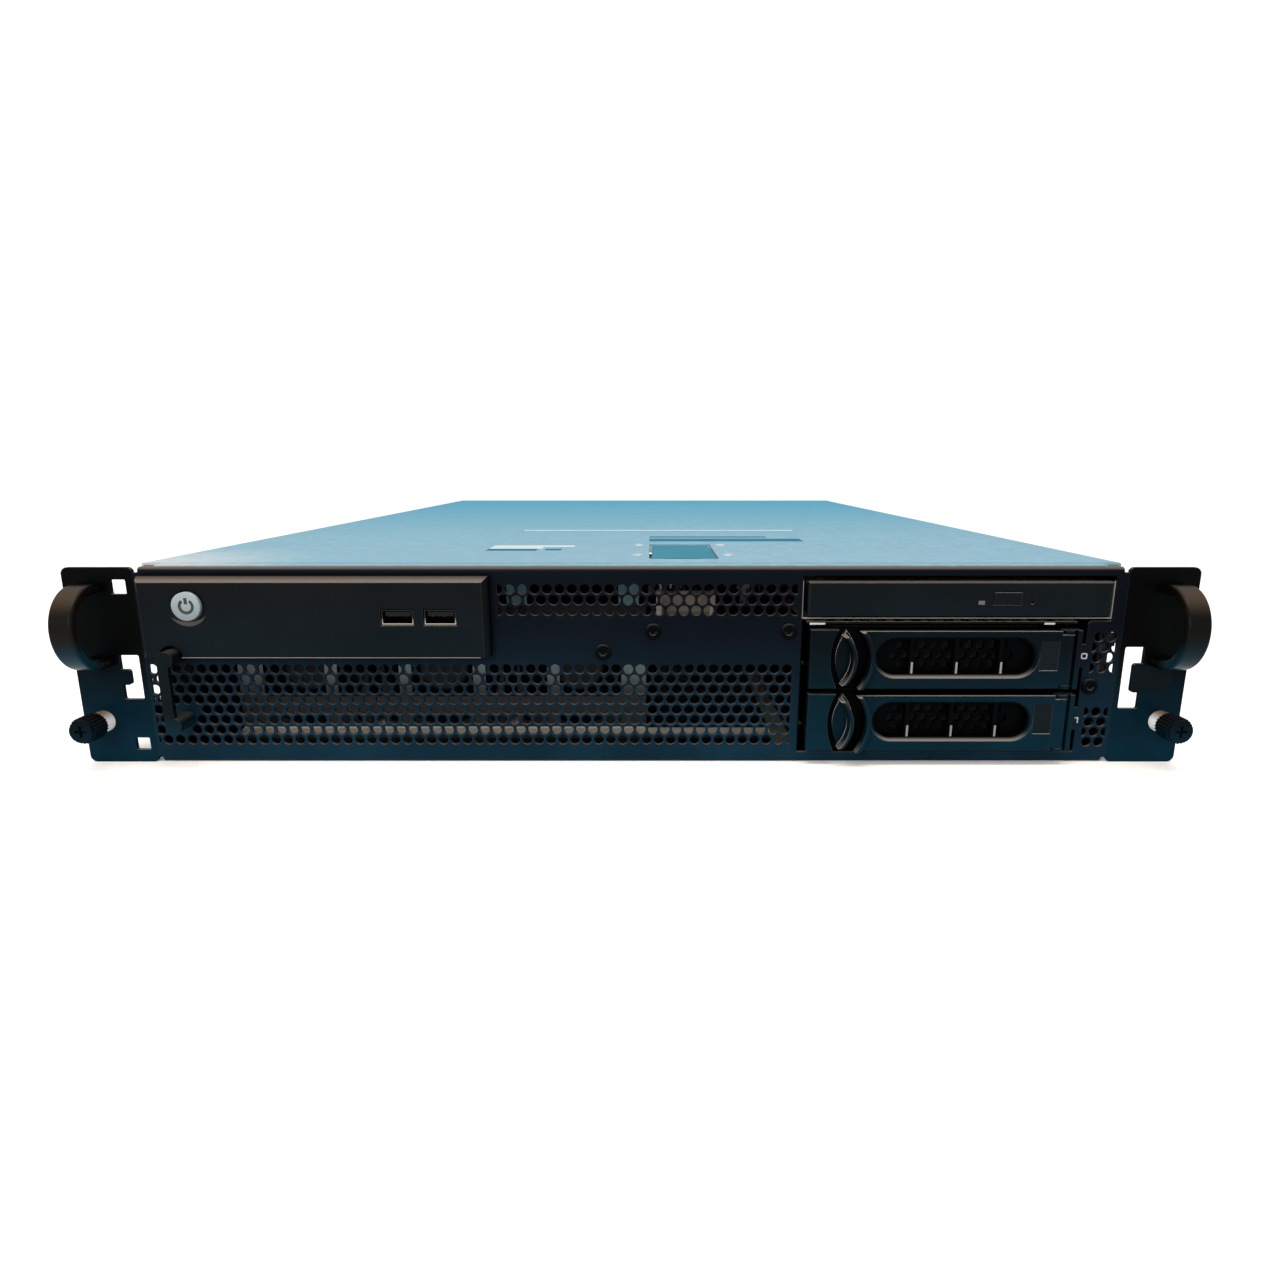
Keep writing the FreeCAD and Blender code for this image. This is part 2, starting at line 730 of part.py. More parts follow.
def wall_strips():
    """The right wall, parted at its bends: bottom rail, channel plate, top rail and cover lip."""
    outer = wall_path() + [(RIM_SIDE - RIM_LIP, RIM_TOP)]
    inner = offset_path(outer, CHASSIS_SHEET)
    strips = []
    for first, last in zip(WALL_PARTINGS, WALL_PARTINGS[1:]):
        section = outer[first:last + 1] + inner[first:last + 1][::-1]
        strips.append(prism(section, "xz", PANEL_SHEET, REAR_INSIDE))
    return strips


def chassis_base():
    """Floor sheet between two walls of joined strips, with lips notched to let the cover's hooks out."""
    floor_side = HALF - CHASSIS_SHEET
    floor = block(-floor_side, floor_side, PANEL_SHEET, REAR_INSIDE, 0, CHASSIS_SHEET)
    flange_end = FLANGE_DEPTH + SEAM
    low_cut = block(-HALF, HALF, 0, flange_end, 0, PANEL_SHEET + SEAM)
    high_cut = block(-HALF, HALF, 0, flange_end, PANEL_HEIGHT - PANEL_SHEET - SEAM, PANEL_HEIGHT)
    cuts = [low_cut, high_cut]
    lip_edge = RIM_SIDE - RIM_LIP
    for start in hook_starts():
        first = start + COVER_TRAVEL - RUN_GAP
        last = start + COVER_TRAVEL + HOOK_WIDTH + RUN_GAP
        cuts.append(block(lip_edge - OVERCUT, lip_edge + HOOK_FOOT + RUN_GAP, first, last,
                          RIM_TOP - CHASSIS_SHEET, RIM_TOP))
    for y, z in ear_screw_places():
        cuts.append(rod("yz", y, z, SCREW_RADIUS + SCREW_GAP, 0, HALF + OVERCUT))
    walls = [strip.cut(cuts) for strip in wall_strips()]
    return [floor.cut(low_cut)] + walls + [mirror(strip) for strip in walls]


def rail_studs():
    """Shouldered studs in both wall channels, which hang the case on its rack rails."""
    wall = HALF - CHANNEL_DEPTH
    z = (CHANNEL_LOW + CHANNEL_HIGH) / 2
    span = DEPTH - 2 * STUD_INSET
    studs = []
    for i in range(STUD_COUNT):
        y = STUD_INSET + span * i / (STUD_COUNT - 1)
        neck = rod("yz", y, z, STUD_RADIUS, wall, wall + STUD_REACH)
        head = rod("yz", y, z, STUD_HEAD_RADIUS, wall + STUD_REACH - COVER_SHEET, wall + STUD_REACH)
        stud = join([neck, head])
        studs += [stud, mirror(stud)]
    return studs


# Front panel

def clipped_hole(u, v, low, high):
    """A round hole, cut straight where it crosses an edge of its field."""
    for limit, inward in ((low, 1), (high, -1)):
        reach = (u - limit) * inward
        if abs(reach) < HOLE_RADIUS - SEAM:
            rise = math.sqrt(HOLE_RADIUS ** 2 - reach ** 2)
            top = (limit, v + rise)
            bottom = (limit, v - rise)
            return Path([[top, (u + inward * HOLE_RADIUS, v), bottom], [bottom, top]])
    return Disc(u, v, HOLE_RADIUS)


def hole_field(low, high, top, rows, first):
    """Staggered rows of holes, the first hole of the first row a given way in from the right edge."""
    holes = []
    smallest = HOLE_RADIUS / 4
    for row in range(rows):
        u = high - first + (HOLE_PITCH / 2 if row % 2 else 0)
        while u > low - HOLE_RADIUS + smallest:
            if u < high + HOLE_RADIUS - smallest:
                holes.append((u, top - row * ROW_PITCH, low, high))
            u -= HOLE_PITCH
    return holes


def clear_of(hole, spots):
    """Whether a hole leaves a rim of sheet around each spot, given as X, Z and radius."""
    return all(math.hypot(hole[0] - x, hole[1] - z) > r + HOLE_RADIUS + SEAM for x, z, r in spots)


def panel_screw_places():
    """X and Z of the four screws that show on the front."""
    beside_bezel = [(BEZEL_RIGHT + x, BEZEL_LOW + z) for x, z in (SCREW_LOW_PLACE, SCREW_HIGH_PLACE)]
    beside_bay = (BAY_LEFT - SCREW_BAY_GAP, BEZEL_LOW + SCREW_HIGH_PLACE[1])
    return beside_bezel + [beside_bay, (BAY_RIGHT + SCREW_EDGE_GAP, GRILLE_TOP - SCREW_EDGE_DROP)]


def panel_holes():
    """All perforations: the wide grille, the short one above it and two small patches at the right."""
    right = BAY_LEFT - GRILLE_BAY_GAP
    left = -HALF + GRILLE_EDGE
    upper_top = PANEL_HEIGHT - UPPER_DROP
    fields = hole_field(left, right, GRILLE_TOP, GRILLE_ROWS, HOLE_RADIUS)
    fields += hole_field(BEZEL_RIGHT + UPPER_GAP, right + UPPER_OVERRUN, upper_top, UPPER_ROWS, UPPER_START)
    patch_right = HALF - PATCH_EDGE
    patch_left = patch_right - 2 * HOLE_PITCH
    for top, first in zip(PATCH_TOPS, (HOLE_PITCH / 2, 0)):
        fields += hole_field(patch_left, patch_right, top, PATCH_ROWS, first)
    spots = [(x, z, SCREW_HEAD_RADIUS) for x, z in panel_screw_places()]
    spots += [(PULL_X, z, PULL_POST_RADIUS) for z in PULL_HEIGHTS]
    return [clipped_hole(*hole) for hole in fields if clear_of(hole, spots)]


def bay_opening():
    """One stepped opening for the optical drive and both carriers, with tabs beside the carriers."""
    right = OPTICAL_RIGHT + OPTICAL_CLEAR
    top = OPTICAL_FLOOR + OPTICAL_BEZEL_HEIGHT + OPTICAL_CLEAR
    step = OPTICAL_FLOOR - OPTICAL_CLEAR
    low = BAY_FLOOR - BAY_CLEAR_BELOW
    outline = [(BAY_LEFT, low, BAY_CORNER), (BAY_RIGHT, low, BAY_CORNER)]
    for floor in CARRIER_FLOORS[::-1]:
        tab_low, tab_high = [floor + CARRIER_HEIGHT * share for share in TAB_SPAN]
        outline += [(BAY_RIGHT, tab_low), (BAY_RIGHT - TAB_REACH, tab_low)]
        outline += [(BAY_RIGHT - TAB_REACH, tab_high), (BAY_RIGHT, tab_high)]
    return outline + [(BAY_RIGHT, step, BAY_STEP_CORNER), (right, step, BAY_CORNER), (right, top, BAY_CORNER),
                      (BAY_LEFT, top, BAY_CORNER)]


def front_panel():
    """Perforated steel front with a rolled flange along its top and bottom edges."""
    window = rect(BEZEL_LEFT + BEZEL_RIM, BEZEL_RIGHT - BEZEL_RIM, BEZEL_LOW + BEZEL_RIM,
                  BEZEL_TOP - BEZEL_RIM)
    screws = [Disc(x, z, SCREW_RADIUS + SCREW_GAP) for x, z in panel_screw_places()]
    flat = rect(-HALF, HALF, BEND_RADIUS, PANEL_HEIGHT - BEND_RADIUS)
    web = prism(flat, "xz", 0, PANEL_SHEET, panel_holes() + screws + [window, bay_opening()])
    inside = BEND_RADIUS - PANEL_SHEET
    turn = math.sqrt(0.5)
    bend = Path([[(0, BEND_RADIUS), (PANEL_SHEET, BEND_RADIUS)],
                 [(PANEL_SHEET, BEND_RADIUS), (BEND_RADIUS - inside * turn, BEND_RADIUS - inside * turn),
                  (BEND_RADIUS, PANEL_SHEET)],
                 [(BEND_RADIUS, PANEL_SHEET), (FLANGE_DEPTH, PANEL_SHEET)],
                 [(FLANGE_DEPTH, PANEL_SHEET), (FLANGE_DEPTH, 0)], [(FLANGE_DEPTH, 0), (BEND_RADIUS, 0)],
                 [(BEND_RADIUS, 0), (BEND_RADIUS - BEND_RADIUS * turn, BEND_RADIUS - BEND_RADIUS * turn),
                  (0, BEND_RADIUS)]])
    low = prism(bend, "yz", -HALF, HALF)
    high = low.mirror(V(0, 0, PANEL_HEIGHT / 2), V(0, 0, 1))
    panel = join([web, low, high])
    relief = block(HALF - PANEL_CORNER, HALF, -OVERCUT, FLANGE_DEPTH + OVERCUT, -OVERCUT, PANEL_CORNER)
    reliefs = [relief, relief.mirror(V(0, 0, PANEL_HEIGHT / 2), V(0, 0, 1))]
    return [panel.cut(reliefs + [mirror(item) for item in reliefs])]


def case_screws():
    """Round-headed screws with a star recess: four on the front and four at each ear's tabs."""
    star = polygon(0, 0, SCREW_RECESS_RADIUS, 6)
    head = prism(Disc(0, 0, SCREW_HEAD_RADIUS), "xz", -SCREW_HEAD_HEIGHT, 0)
    head = head.makeFillet(SCREW_HEAD_HEIGHT / 2, edges_where(head, lambda p: near(p.y, -SCREW_HEAD_HEIGHT)))
    shank = rod("xz", 0, 0, SCREW_RADIUS, 0, SCREW_LENGTH)
    recess = prism(star, "xz", -SCREW_HEAD_HEIGHT - OVERCUT, -SCREW_HEAD_HEIGHT / 2)
    screw = join([head, shank]).cut(recess)
    screws = [screw.translated(V(x, 0, z)) for x, z in panel_screw_places()]
    sideways = screw.rotated(V(0, 0, 0), V(0, 0, 1), 90)
    for y, z in ear_screw_places():
        right = sideways.translated(V(HALF + EAR_SHEET, y, z))
        screws += [right, mirror(right)]
    return screws


# Rack ears

def window_side():
    """X of the inner side of a right-hand ear's openings."""
    return HALF + EAR_SHEET + EAR_WINDOW_INSET


def tab_window(low, high, tab_setback, tab_low, tab_high):
    """A window in an ear with a round-cornered tab that reaches in from the outer side."""
    inner = window_side()
    outer = inner + EAR_WINDOW_WIDTH
    tab_tip = inner + tab_setback
    corner_radius, tab_radius = EAR_WINDOW_CORNER, EAR_WINDOW_TAB_CORNER
    return [(inner, low, corner_radius), (outer, low, corner_radius), (outer, tab_low),
            (tab_tip, tab_low, tab_radius), (tab_tip, tab_high, tab_radius), (outer, tab_high),
            (outer, high, corner_radius), (inner, high, corner_radius)]


def rack_ear(openings):
    """A right-hand ear: a flat plate with its openings and two tabs folded back along the wall."""
    outer = RACK_WIDTH / 2
    inner = HALF + SEAM
    outline = [(inner, 0, PANEL_CORNER), (outer, 0, EAR_CORNER), (outer, PANEL_HEIGHT, EAR_CORNER),
               (inner, PANEL_HEIGHT, PANEL_CORNER)]
    bolt = Disc(THUMB_X, THUMB_HEIGHT, THUMB_THREAD_RADIUS + PIN_GAP)
    plate = prism(outline, "xz", 0, EAR_SHEET, [bolt] + openings)
    tabs = [block(HALF, HALF + EAR_SHEET, EAR_SHEET, EAR_SHEET + EAR_TAB_LENGTH, low + SEAM, high - SEAM)
            for low, high in ear_tabs()]
    ear = join([plate] + tabs)
    holes = [rod("yz", y, z, SCREW_RADIUS + SCREW_GAP, HALF - OVERCUT, HALF + EAR_SHEET + OVERCUT)
             for y, z in ear_screw_places()]
    return ear.cut(holes)


def right_rack_ear():
    """The right ear, with one tall window."""
    return [rack_ear([tab_window(*RIGHT_WINDOW, *RIGHT_WINDOW_TAB)])]


def left_rack_ear():
    """The left ear, with a shorter window between two square holes."""
    side = window_side()
    window = tab_window(*LEFT_WINDOW, *LEFT_WINDOW_TAB)
    high_limits = [side + x for x in SQUARE_HIGH_SPAN] + [PANEL_HEIGHT - drop for drop in SQUARE_HIGH_DROP]
    low_limits = [side + x for x in SQUARE_LOW_SPAN] + list(SQUARE_LOW_RISE)
    squares = [rect(*limits, SQUARE_CORNER) for limits in (high_limits, low_limits)]
    return [mirror(rack_ear([window] + squares))]


def ear_handle():
    """A right-hand arched handle, bent from bar with softened edges."""
    inner = HANDLE_RADIUS - HANDLE_BAR
    low, high = HANDLE_Z - HANDLE_RADIUS, HANDLE_Z + HANDLE_RADIUS
    arch = Path([[(0, low), (-HANDLE_LEG, low)],
                 [(-HANDLE_LEG, low), (-HANDLE_REACH, HANDLE_Z), (-HANDLE_LEG, high)],
                 [(-HANDLE_LEG, high), (0, high)], [(0, high), (0, high - HANDLE_BAR)],
                 [(0, high - HANDLE_BAR), (-HANDLE_LEG, high - HANDLE_BAR)],
                 [(-HANDLE_LEG, high - HANDLE_BAR), (-HANDLE_LEG - inner, HANDLE_Z),
                  (-HANDLE_LEG, low + HANDLE_BAR)],
                 [(-HANDLE_LEG, low + HANDLE_BAR), (0, low + HANDLE_BAR)], [(0, low + HANDLE_BAR), (0, low)]])
    sides = (HANDLE_X - HANDLE_WIDTH / 2, HANDLE_X + HANDLE_WIDTH / 2)
    bar = prism(arch, "yz", *sides)
    rims = [e for side in sides for e in edges_where(bar, lambda p, side=side: near(p.x, side))]
    rims = [e for e in rims if not all(near(vertex.Y, 0) for vertex in e.Vertexes)]
    return bar.makeFillet(HANDLE_ROUND, rims)


def thumbscrew():
    """A captive screw at the right ear: knurled head, cross recess, thin neck and a wider thread."""
    back = -COLLAR_LENGTH - RUN_GAP
    front = back - THUMB_HEAD_LENGTH
    teeth = []
    for i in range(2 * THUMB_TEETH):
        radius = THUMB_HEAD_RADIUS - (THUMB_TOOTH_DEPTH if i % 2 else 0)
        angle = math.pi * i / THUMB_TEETH
        teeth.append((THUMB_X + radius * math.cos(angle), THUMB_HEIGHT + radius * math.sin(angle)))
    face_end = front + THUMB_FACE_LENGTH
    neck_end = EAR_SHEET + THUMB_NECK_REACH
    knurl = prism(teeth, "xz", face_end, back)
    face = rod("xz", THUMB_X, THUMB_HEIGHT, THUMB_HEAD_RADIUS - THUMB_FACE_STEP, front, face_end)
    neck = rod("xz", THUMB_X, THUMB_HEIGHT, THUMB_NECK_RADIUS, back, neck_end)
    thread = rod("xz", THUMB_X, THUMB_HEIGHT, THUMB_THREAD_RADIUS, neck_end, neck_end + THUMB_THREAD_LENGTH)
    reach, half = THUMB_CROSS_REACH, THUMB_CROSS_HALF
    slots = [block(THUMB_X - across, THUMB_X + across, front - OVERCUT, front + THUMB_CROSS_DEPTH,
                   THUMB_HEIGHT - upright, THUMB_HEIGHT + upright)
             for across, upright in ((reach, half), (half, reach))]
    return join([knurl, face, neck, thread]).cut(slots)


def thumbscrew_collars():
    """Bright bushes that keep the thumbscrews in the ears."""
    bore = Disc(THUMB_X, THUMB_HEIGHT, THUMB_THREAD_RADIUS + PIN_GAP)
    collar = prism(Disc(THUMB_X, THUMB_HEIGHT, COLLAR_RADIUS), "xz", -COLLAR_LENGTH, 0, [bore])
    return [collar, mirror(collar)]


def front_pull_handle():
    """A flat strap on two round posts, for a finger to draw the case out of the rack."""
    front = -PULL_POST_LENGTH - PULL_STRAP
    left = PULL_X - PULL_POST_RADIUS
    low, high = PULL_HEIGHTS
    strap = block(left, left + PULL_STRAP_WIDTH, front, -PULL_POST_LENGTH, low, high)
    posts = [rod("xz", PULL_X, z, PULL_POST_RADIUS, front, 0) for z in PULL_HEIGHTS]
    return [join([strap] + posts)]


# Control bezel

def bezel_bosses():
    """X and Z of the bosses that carry the control board."""
    inset = BEZEL_RIM + BOSS_RADIUS + SEAM
    heights = (BEZEL_LOW + inset, BEZEL_TOP - inset)
    return [(x, z) for x in (BEZEL_LEFT + inset, BEZEL_RIGHT - inset) for z in heights]


def socket_centres():
    """X of the two front sockets."""
    return [BEZEL_RIGHT - inset for inset in SOCKET_INSETS]


def control_bezel():
    """A moulded hood with chamfered edges, a dished button seat, two socket mouths and board bosses."""
    hood = block(BEZEL_LEFT, BEZEL_RIGHT, -BEZEL_REACH, 0, BEZEL_LOW, BEZEL_TOP)
    front = edges_where(hood, lambda p: near(p.y, -BEZEL_REACH))
    wide = [e for e in front if all(near(vertex.Z, BEZEL_TOP) for vertex in e.Vertexes)]
    wide += [e for e in front if all(near(vertex.X, BEZEL_RIGHT) for vertex in e.Vertexes)]
    hood = hood.makeChamfer(BEZEL_CHAMFER, wide)
    small = edges_where(hood, lambda p: near(p.y, -BEZEL_REACH))
    small = [e for e in small if all(near(vertex.Z, BEZEL_LOW) for vertex in e.Vertexes)
             or all(near(vertex.X, BEZEL_LEFT) for vertex in e.Vertexes)]
    hood = hood.makeChamfer(BEZEL_SMALL_CHAMFER, small)
    wall = BEZEL_WALL + BEZEL_CHAMFER / 2
    seat_back = -BEZEL_REACH + BEZEL_WALL
    pocket = block(BEZEL_LEFT + wall, BEZEL_RIGHT - wall, seat_back, OVERCUT, BEZEL_LOW + wall,
                   BEZEL_TOP - wall)
    hood = hood.cut(pocket)
    bosses = [rod("xz", x, z, BOSS_RADIUS, seat_back, CONTROL_BOARD_BACK) for x, z in bezel_bosses()]
    hood = join([hood] + bosses)
    dish_sphere = (DISH_RADIUS ** 2 + DISH_DEPTH ** 2) / (2 * DISH_DEPTH)
    dish_centre = V(BUTTON_X, -BEZEL_REACH + DISH_DEPTH - dish_sphere, BUTTON_Z)
    cuts = [Part.makeSphere(dish_sphere, dish_centre)]
    cut_front, cut_back = -BEZEL_REACH - OVERCUT, seat_back + OVERCUT
    cuts.append(rod("xz", BUTTON_X, BUTTON_Z, BUTTON_RADIUS + RUN_GAP, cut_front, cut_back))
    for x in socket_centres():
        mouth = rect(x - SOCKET_WIDTH / 2 - PORT_GAP, x + SOCKET_WIDTH / 2 + PORT_GAP,
                     SOCKET_Z - SOCKET_HEIGHT / 2 - PORT_GAP, SOCKET_Z + SOCKET_HEIGHT / 2 + PORT_GAP)
        cuts.append(prism(mouth, "xz", cut_front, cut_back))
    cuts.append(rod("xz", PULL_X, PULL_HEIGHTS[1], PULL_POST_RADIUS + PULL_CLEAR, cut_front, OVERCUT))
    return [hood.cut(cuts)]


def power_button():
    """A dished cap with a retaining flange and a stem that meets the switch."""
    seat_back = -BEZEL_REACH + BEZEL_WALL + RUN_GAP
    front = -BEZEL_REACH - BUTTON_PROUD
    stem_end = CONTROL_BOARD_BACK - SWITCH_HEIGHT - BUTTON_TRAVEL - RUN_GAP
    cap = rod("xz", BUTTON_X, BUTTON_Z, BUTTON_RADIUS, front, seat_back)
    flange_end = seat_back + BUTTON_FLANGE_THICK
    flange = rod("xz", BUTTON_X, BUTTON_Z, BUTTON_RADIUS + BUTTON_FLANGE, seat_back, flange_end)
    stem = rod("xz", BUTTON_X, BUTTON_Z, BUTTON_STEM_RADIUS, flange_end, stem_end)
    dish_centre = V(BUTTON_X, front + BUTTON_SCOOP_DEPTH - BUTTON_SCOOP_RADIUS, BUTTON_Z)
    dish = Part.makeSphere(BUTTON_SCOOP_RADIUS, dish_centre)
    return [join([cap, flange, stem]).cut(dish)]


def usb_shell(x, z, front, back):
    """An open-fronted metal socket with its tongue."""
    half_width = SOCKET_WIDTH / 2
    half_height = SOCKET_HEIGHT / 2
    outer = block(x - half_width, x + half_width, front, back, z - half_height, z + half_height)
    inner_width, inner_height = half_width - SOCKET_WALL, half_height - SOCKET_WALL
    inner = block(x - inner_width, x + inner_width, front - OVERCUT, back - SOCKET_WALL, z - inner_height,
                  z + inner_height)
    tongue_top = z + half_height - SOCKET_WALL - TONGUE_GAP
    tongue = block(x - half_width + TONGUE_SIDE, x + half_width - TONGUE_SIDE, front + TONGUE_SETBACK, back,
                   tongue_top - SOCKET_TONGUE, tongue_top)
    return join([outer.cut(inner), tongue])


def front_usb_sockets():
    """Two sockets that stand on the control board and look out through the bezel."""
    front = -BEZEL_REACH + SOCKET_RECESS
    return [usb_shell(x, SOCKET_Z, front, CONTROL_BOARD_BACK) for x in socket_centres()]


def control_board():
    """Circuit board behind the bezel, with the switch under the power button and the ribbon's header."""
    inset = BEZEL_RIM + SEAM
    back = CONTROL_BOARD_BACK + BOARD_SHEET
    board = block(BEZEL_LEFT + inset, BEZEL_RIGHT - inset, CONTROL_BOARD_BACK, back, BEZEL_LOW + inset,
                  BEZEL_TOP - inset)
    switch = block(BUTTON_X - SWITCH_HALF, BUTTON_X + SWITCH_HALF, CONTROL_BOARD_BACK - SWITCH_HEIGHT,
                   CONTROL_BOARD_BACK, BUTTON_Z - SWITCH_HALF, BUTTON_Z + SWITCH_HALF)
    x, z = ribbon_x(), BEZEL_LOW + BEZEL_HEIGHT / 2
    side = RIBBON_WIDTH / 2 + HEADER_SIDE
    header = block(x - side, x + side, back, back + HEADER_DEPTH, z - HEADER_HEIGHT / 2, z + HEADER_HEIGHT / 2)
    return [join([board, switch, header])]


# Optical drive

def optical_case():
    """A thin box, open at the front, that the tray runs in."""
    half = OPTICAL_CASE_WIDTH / 2
    wall = OPTICAL_CASE_WALL
    top = OPTICAL_CASE_FLOOR + OPTICAL_CASE_HEIGHT
    end = OPTICAL_CASE_START + OPTICAL_CASE_DEPTH
    left, right = OPTICAL_MIDDLE - half, OPTICAL_MIDDLE + half
    outer = block(left, right, OPTICAL_CASE_START, end, OPTICAL_CASE_FLOOR, top)
    inner = block(left + wall, right - wall, OPTICAL_CASE_START - OVERCUT, end - wall,
                  OPTICAL_CASE_FLOOR + wall, top - wall)
    return [outer.cut(inner)]


def disc_centre():
    """Y of the disc's middle on the closed tray."""
    return OPTICAL_BACK + DISC_EDGE + DISC_RADIUS


def optical_tray():
    """Sliding tray with the round disc recess, a bore for the hub and room behind the eject button."""
    half = TRAY_WIDTH / 2
    end = OPTICAL_CASE_START + OPTICAL_CASE_DEPTH - OPTICAL_CASE_WALL - RUN_GAP
    y = disc_centre()
    tray = block(OPTICAL_MIDDLE - half, OPTICAL_MIDDLE + half, OPTICAL_BACK, end, TRAY_FLOOR, TRAY_TOP)
    recess = rod("xy", OPTICAL_MIDDLE, y, DISC_RADIUS, TRAY_TOP - DISC_RECESS, TRAY_TOP + OVERCUT)
    bore = rod("xy", OPTICAL_MIDDLE, y, HUB_PIN_RADIUS + PIN_GAP, TRAY_FLOOR - OVERCUT, TRAY_TOP)
    x, z = eject_place()
    room = block(x - EJECT_WIDTH, x + EJECT_WIDTH, OPTICAL_BACK - OVERCUT,
                 OPTICAL_BACK + EJECT_TRAVEL + RUN_GAP, z - EJECT_HEIGHT, TRAY_TOP + OVERCUT)
    return [tray.cut([recess, bore, room])]


def disc_hub():
    """Spindle with its platter, clamp and shaft."""
    y = disc_centre()
    low = TRAY_TOP - DISC_RECESS + RUN_GAP
    middle = low + HUB_PLATTER
    high = middle + HUB_CLAMP_HEIGHT
    platter = rod("xy", OPTICAL_MIDDLE, y, HUB_RADIUS, low, middle)
    clamp = rod("xy", OPTICAL_MIDDLE, y, HUB_CLAMP_RADIUS, middle, high)
    clamp = clamp.makeChamfer(HUB_CHAMFER, edges_where(clamp, lambda p: near(p.z, high)))
    shaft = rod("xy", OPTICAL_MIDDLE, y, HUB_PIN_RADIUS, TRAY_FLOOR, low)
    return [join([platter, clamp, shaft])]


def eject_place():
    """X and Z of the eject button's middle."""
    return OPTICAL_RIGHT - EJECT_INSET, OPTICAL_FLOOR + EJECT_RISE


def optical_bezel():
    """Front of the tray, with the eject button's window, an indicator window and the release hole."""
    x, z = eject_place()
    half_width = EJECT_WIDTH / 2 + RUN_GAP
    half_height = EJECT_HEIGHT / 2 + RUN_GAP
    button = rect(x - half_width, x + half_width, z - half_height, z + half_height)
    lamp = rect(x + LAMP_SPAN[0], x + LAMP_SPAN[1], z + LAMP_RISE[0], z + LAMP_RISE[1])
    pin_hole = Disc(x + PINHOLE_PLACE[0], z + PINHOLE_PLACE[1], PINHOLE_RADIUS)
    front, back = -OPTICAL_BEZEL_PROUD, OPTICAL_BACK
    top = OPTICAL_FLOOR + OPTICAL_BEZEL_HEIGHT
    bezel = block(OPTICAL_LEFT, OPTICAL_RIGHT, front, back, OPTICAL_FLOOR, top)
    bezel = bezel.makeChamfer(OPTICAL_CHAMFER, edges_where(bezel, lambda p: near(p.y, front)))
    holes = [prism(hole, "xz", front - OVERCUT, back + OVERCUT) for hole in (button, lamp, pin_hole)]
    return [bezel.cut(holes)]


def eject_button():
    """Key in the tray's front that lets the tray out."""
    x, z = eject_place()
    half_width, half_height = EJECT_WIDTH / 2, EJECT_HEIGHT / 2
    outline = rect(x - half_width, x + half_width, z - half_height, z + half_height, EJECT_CORNER)
    return [prism(outline, "xz", -OPTICAL_BEZEL_PROUD - EJECT_PROUD, OPTICAL_BACK)]


# Drive bay

def ledge_top(floor):
    """Height of the ledges that a carrier runs on."""
    return floor + RAIL_LOW - RUN_GAP


def drive_cage():
    """Bent sheet around both carriers, with ledges, a louvred nose and ribs under the optical drive."""
    left, right = CAGE_LEFT - BRACKET_SHEET, CAGE_RIGHT + BRACKET_SHEET
    roof = CAGE_ROOF + BRACKET_SHEET
    low, foot_top = CHASSIS_SHEET, CHASSIS_SHEET + BRACKET_SHEET
    section = [(right + CAGE_FOOT, low), (CAGE_RIGHT, low), (CAGE_RIGHT, CAGE_ROOF), (CAGE_LEFT, CAGE_ROOF),
               (CAGE_LEFT, low), (left - CAGE_FOOT, low), (left - CAGE_FOOT, foot_top), (left, foot_top),
               (left, roof), (right, roof), (right, foot_top), (right + CAGE_FOOT, foot_top)]
    start = FLANGE_DEPTH + SEAM
    shell = prism(section, "xz", start, CAGE_DEPTH)
    nose = block(CAGE_LEFT, CAGE_RIGHT, PANEL_SHEET + SEAM, start, CAGE_ROOF, roof)
    pieces = [shell, nose]
    for floor in CARRIER_FLOORS:
        top = ledge_top(floor)
        for side in (CAGE_LEFT, CAGE_RIGHT - LEDGE_REACH):
            pieces.append(block(side, side + LEDGE_REACH, start, CAGE_DEPTH, top - LEDGE_SHEET, top))
    rib_end = OPTICAL_CASE_START + OPTICAL_CASE_DEPTH
    for x in (OPTICAL_MIDDLE - OPTICAL_CASE_WIDTH / 3, OPTICAL_MIDDLE + OPTICAL_CASE_WIDTH / 3):
        pieces.append(block(x - OPTICAL_RIB_HALF, x + OPTICAL_RIB_HALF, start, rib_end, roof,
                            OPTICAL_CASE_FLOOR))
    count = int((CAGE_RIGHT - CAGE_LEFT - LOUVRE_MARGIN) / LOUVRE_PITCH)
    first = (CAGE_LEFT + CAGE_RIGHT - (count - 1) * LOUVRE_PITCH) / 2
    louvres = []
    for i in range(count):
        x = first + i * LOUVRE_PITCH
        louvres.append(block(x - LOUVRE_HALF, x + LOUVRE_HALF, PANEL_SHEET + LOUVRE_SETBACK, start - OVERCUT,
                             CAGE_ROOF - OVERCUT, roof + OVERCUT))
    return [join(pieces).cut(louvres)]


def blade_arc(tip, floor, top, sag):
    """A blade's curved edge: tip, the middle that bulges to the right, and tip again."""
    return [(tip, floor), (tip + sag, (floor + top) / 2), (tip, top)]


def finger_blade(tip, floor, top, back):
    """A curved blade of even thickness that bulges to the right, its front edge rounded for the finger."""
    outer = blade_arc(tip, floor, top, BLADE_SAG)
    inner = blade_arc(tip - BLADE_THICK, floor, top, BLADE_SAG)
    section = Path([outer, [outer[2], inner[2]], inner[::-1], [inner[0], outer[0]]])
    blade = prism(section, "xz", -BLADE_REACH, back)
    return blade.makeFillet(BLADE_ROUND, edges_where(blade, lambda p: near(p.y, -BLADE_REACH)))


def pill(floor):
    """Limits of the long window in a carrier's lever: left, right, low and high."""
    low = floor + PILL_LOW
    return CARRIER_LEFT + PILL_LEFT, CARRIER_RIGHT - PILL_RIGHT, low, low + PILL_HEIGHT


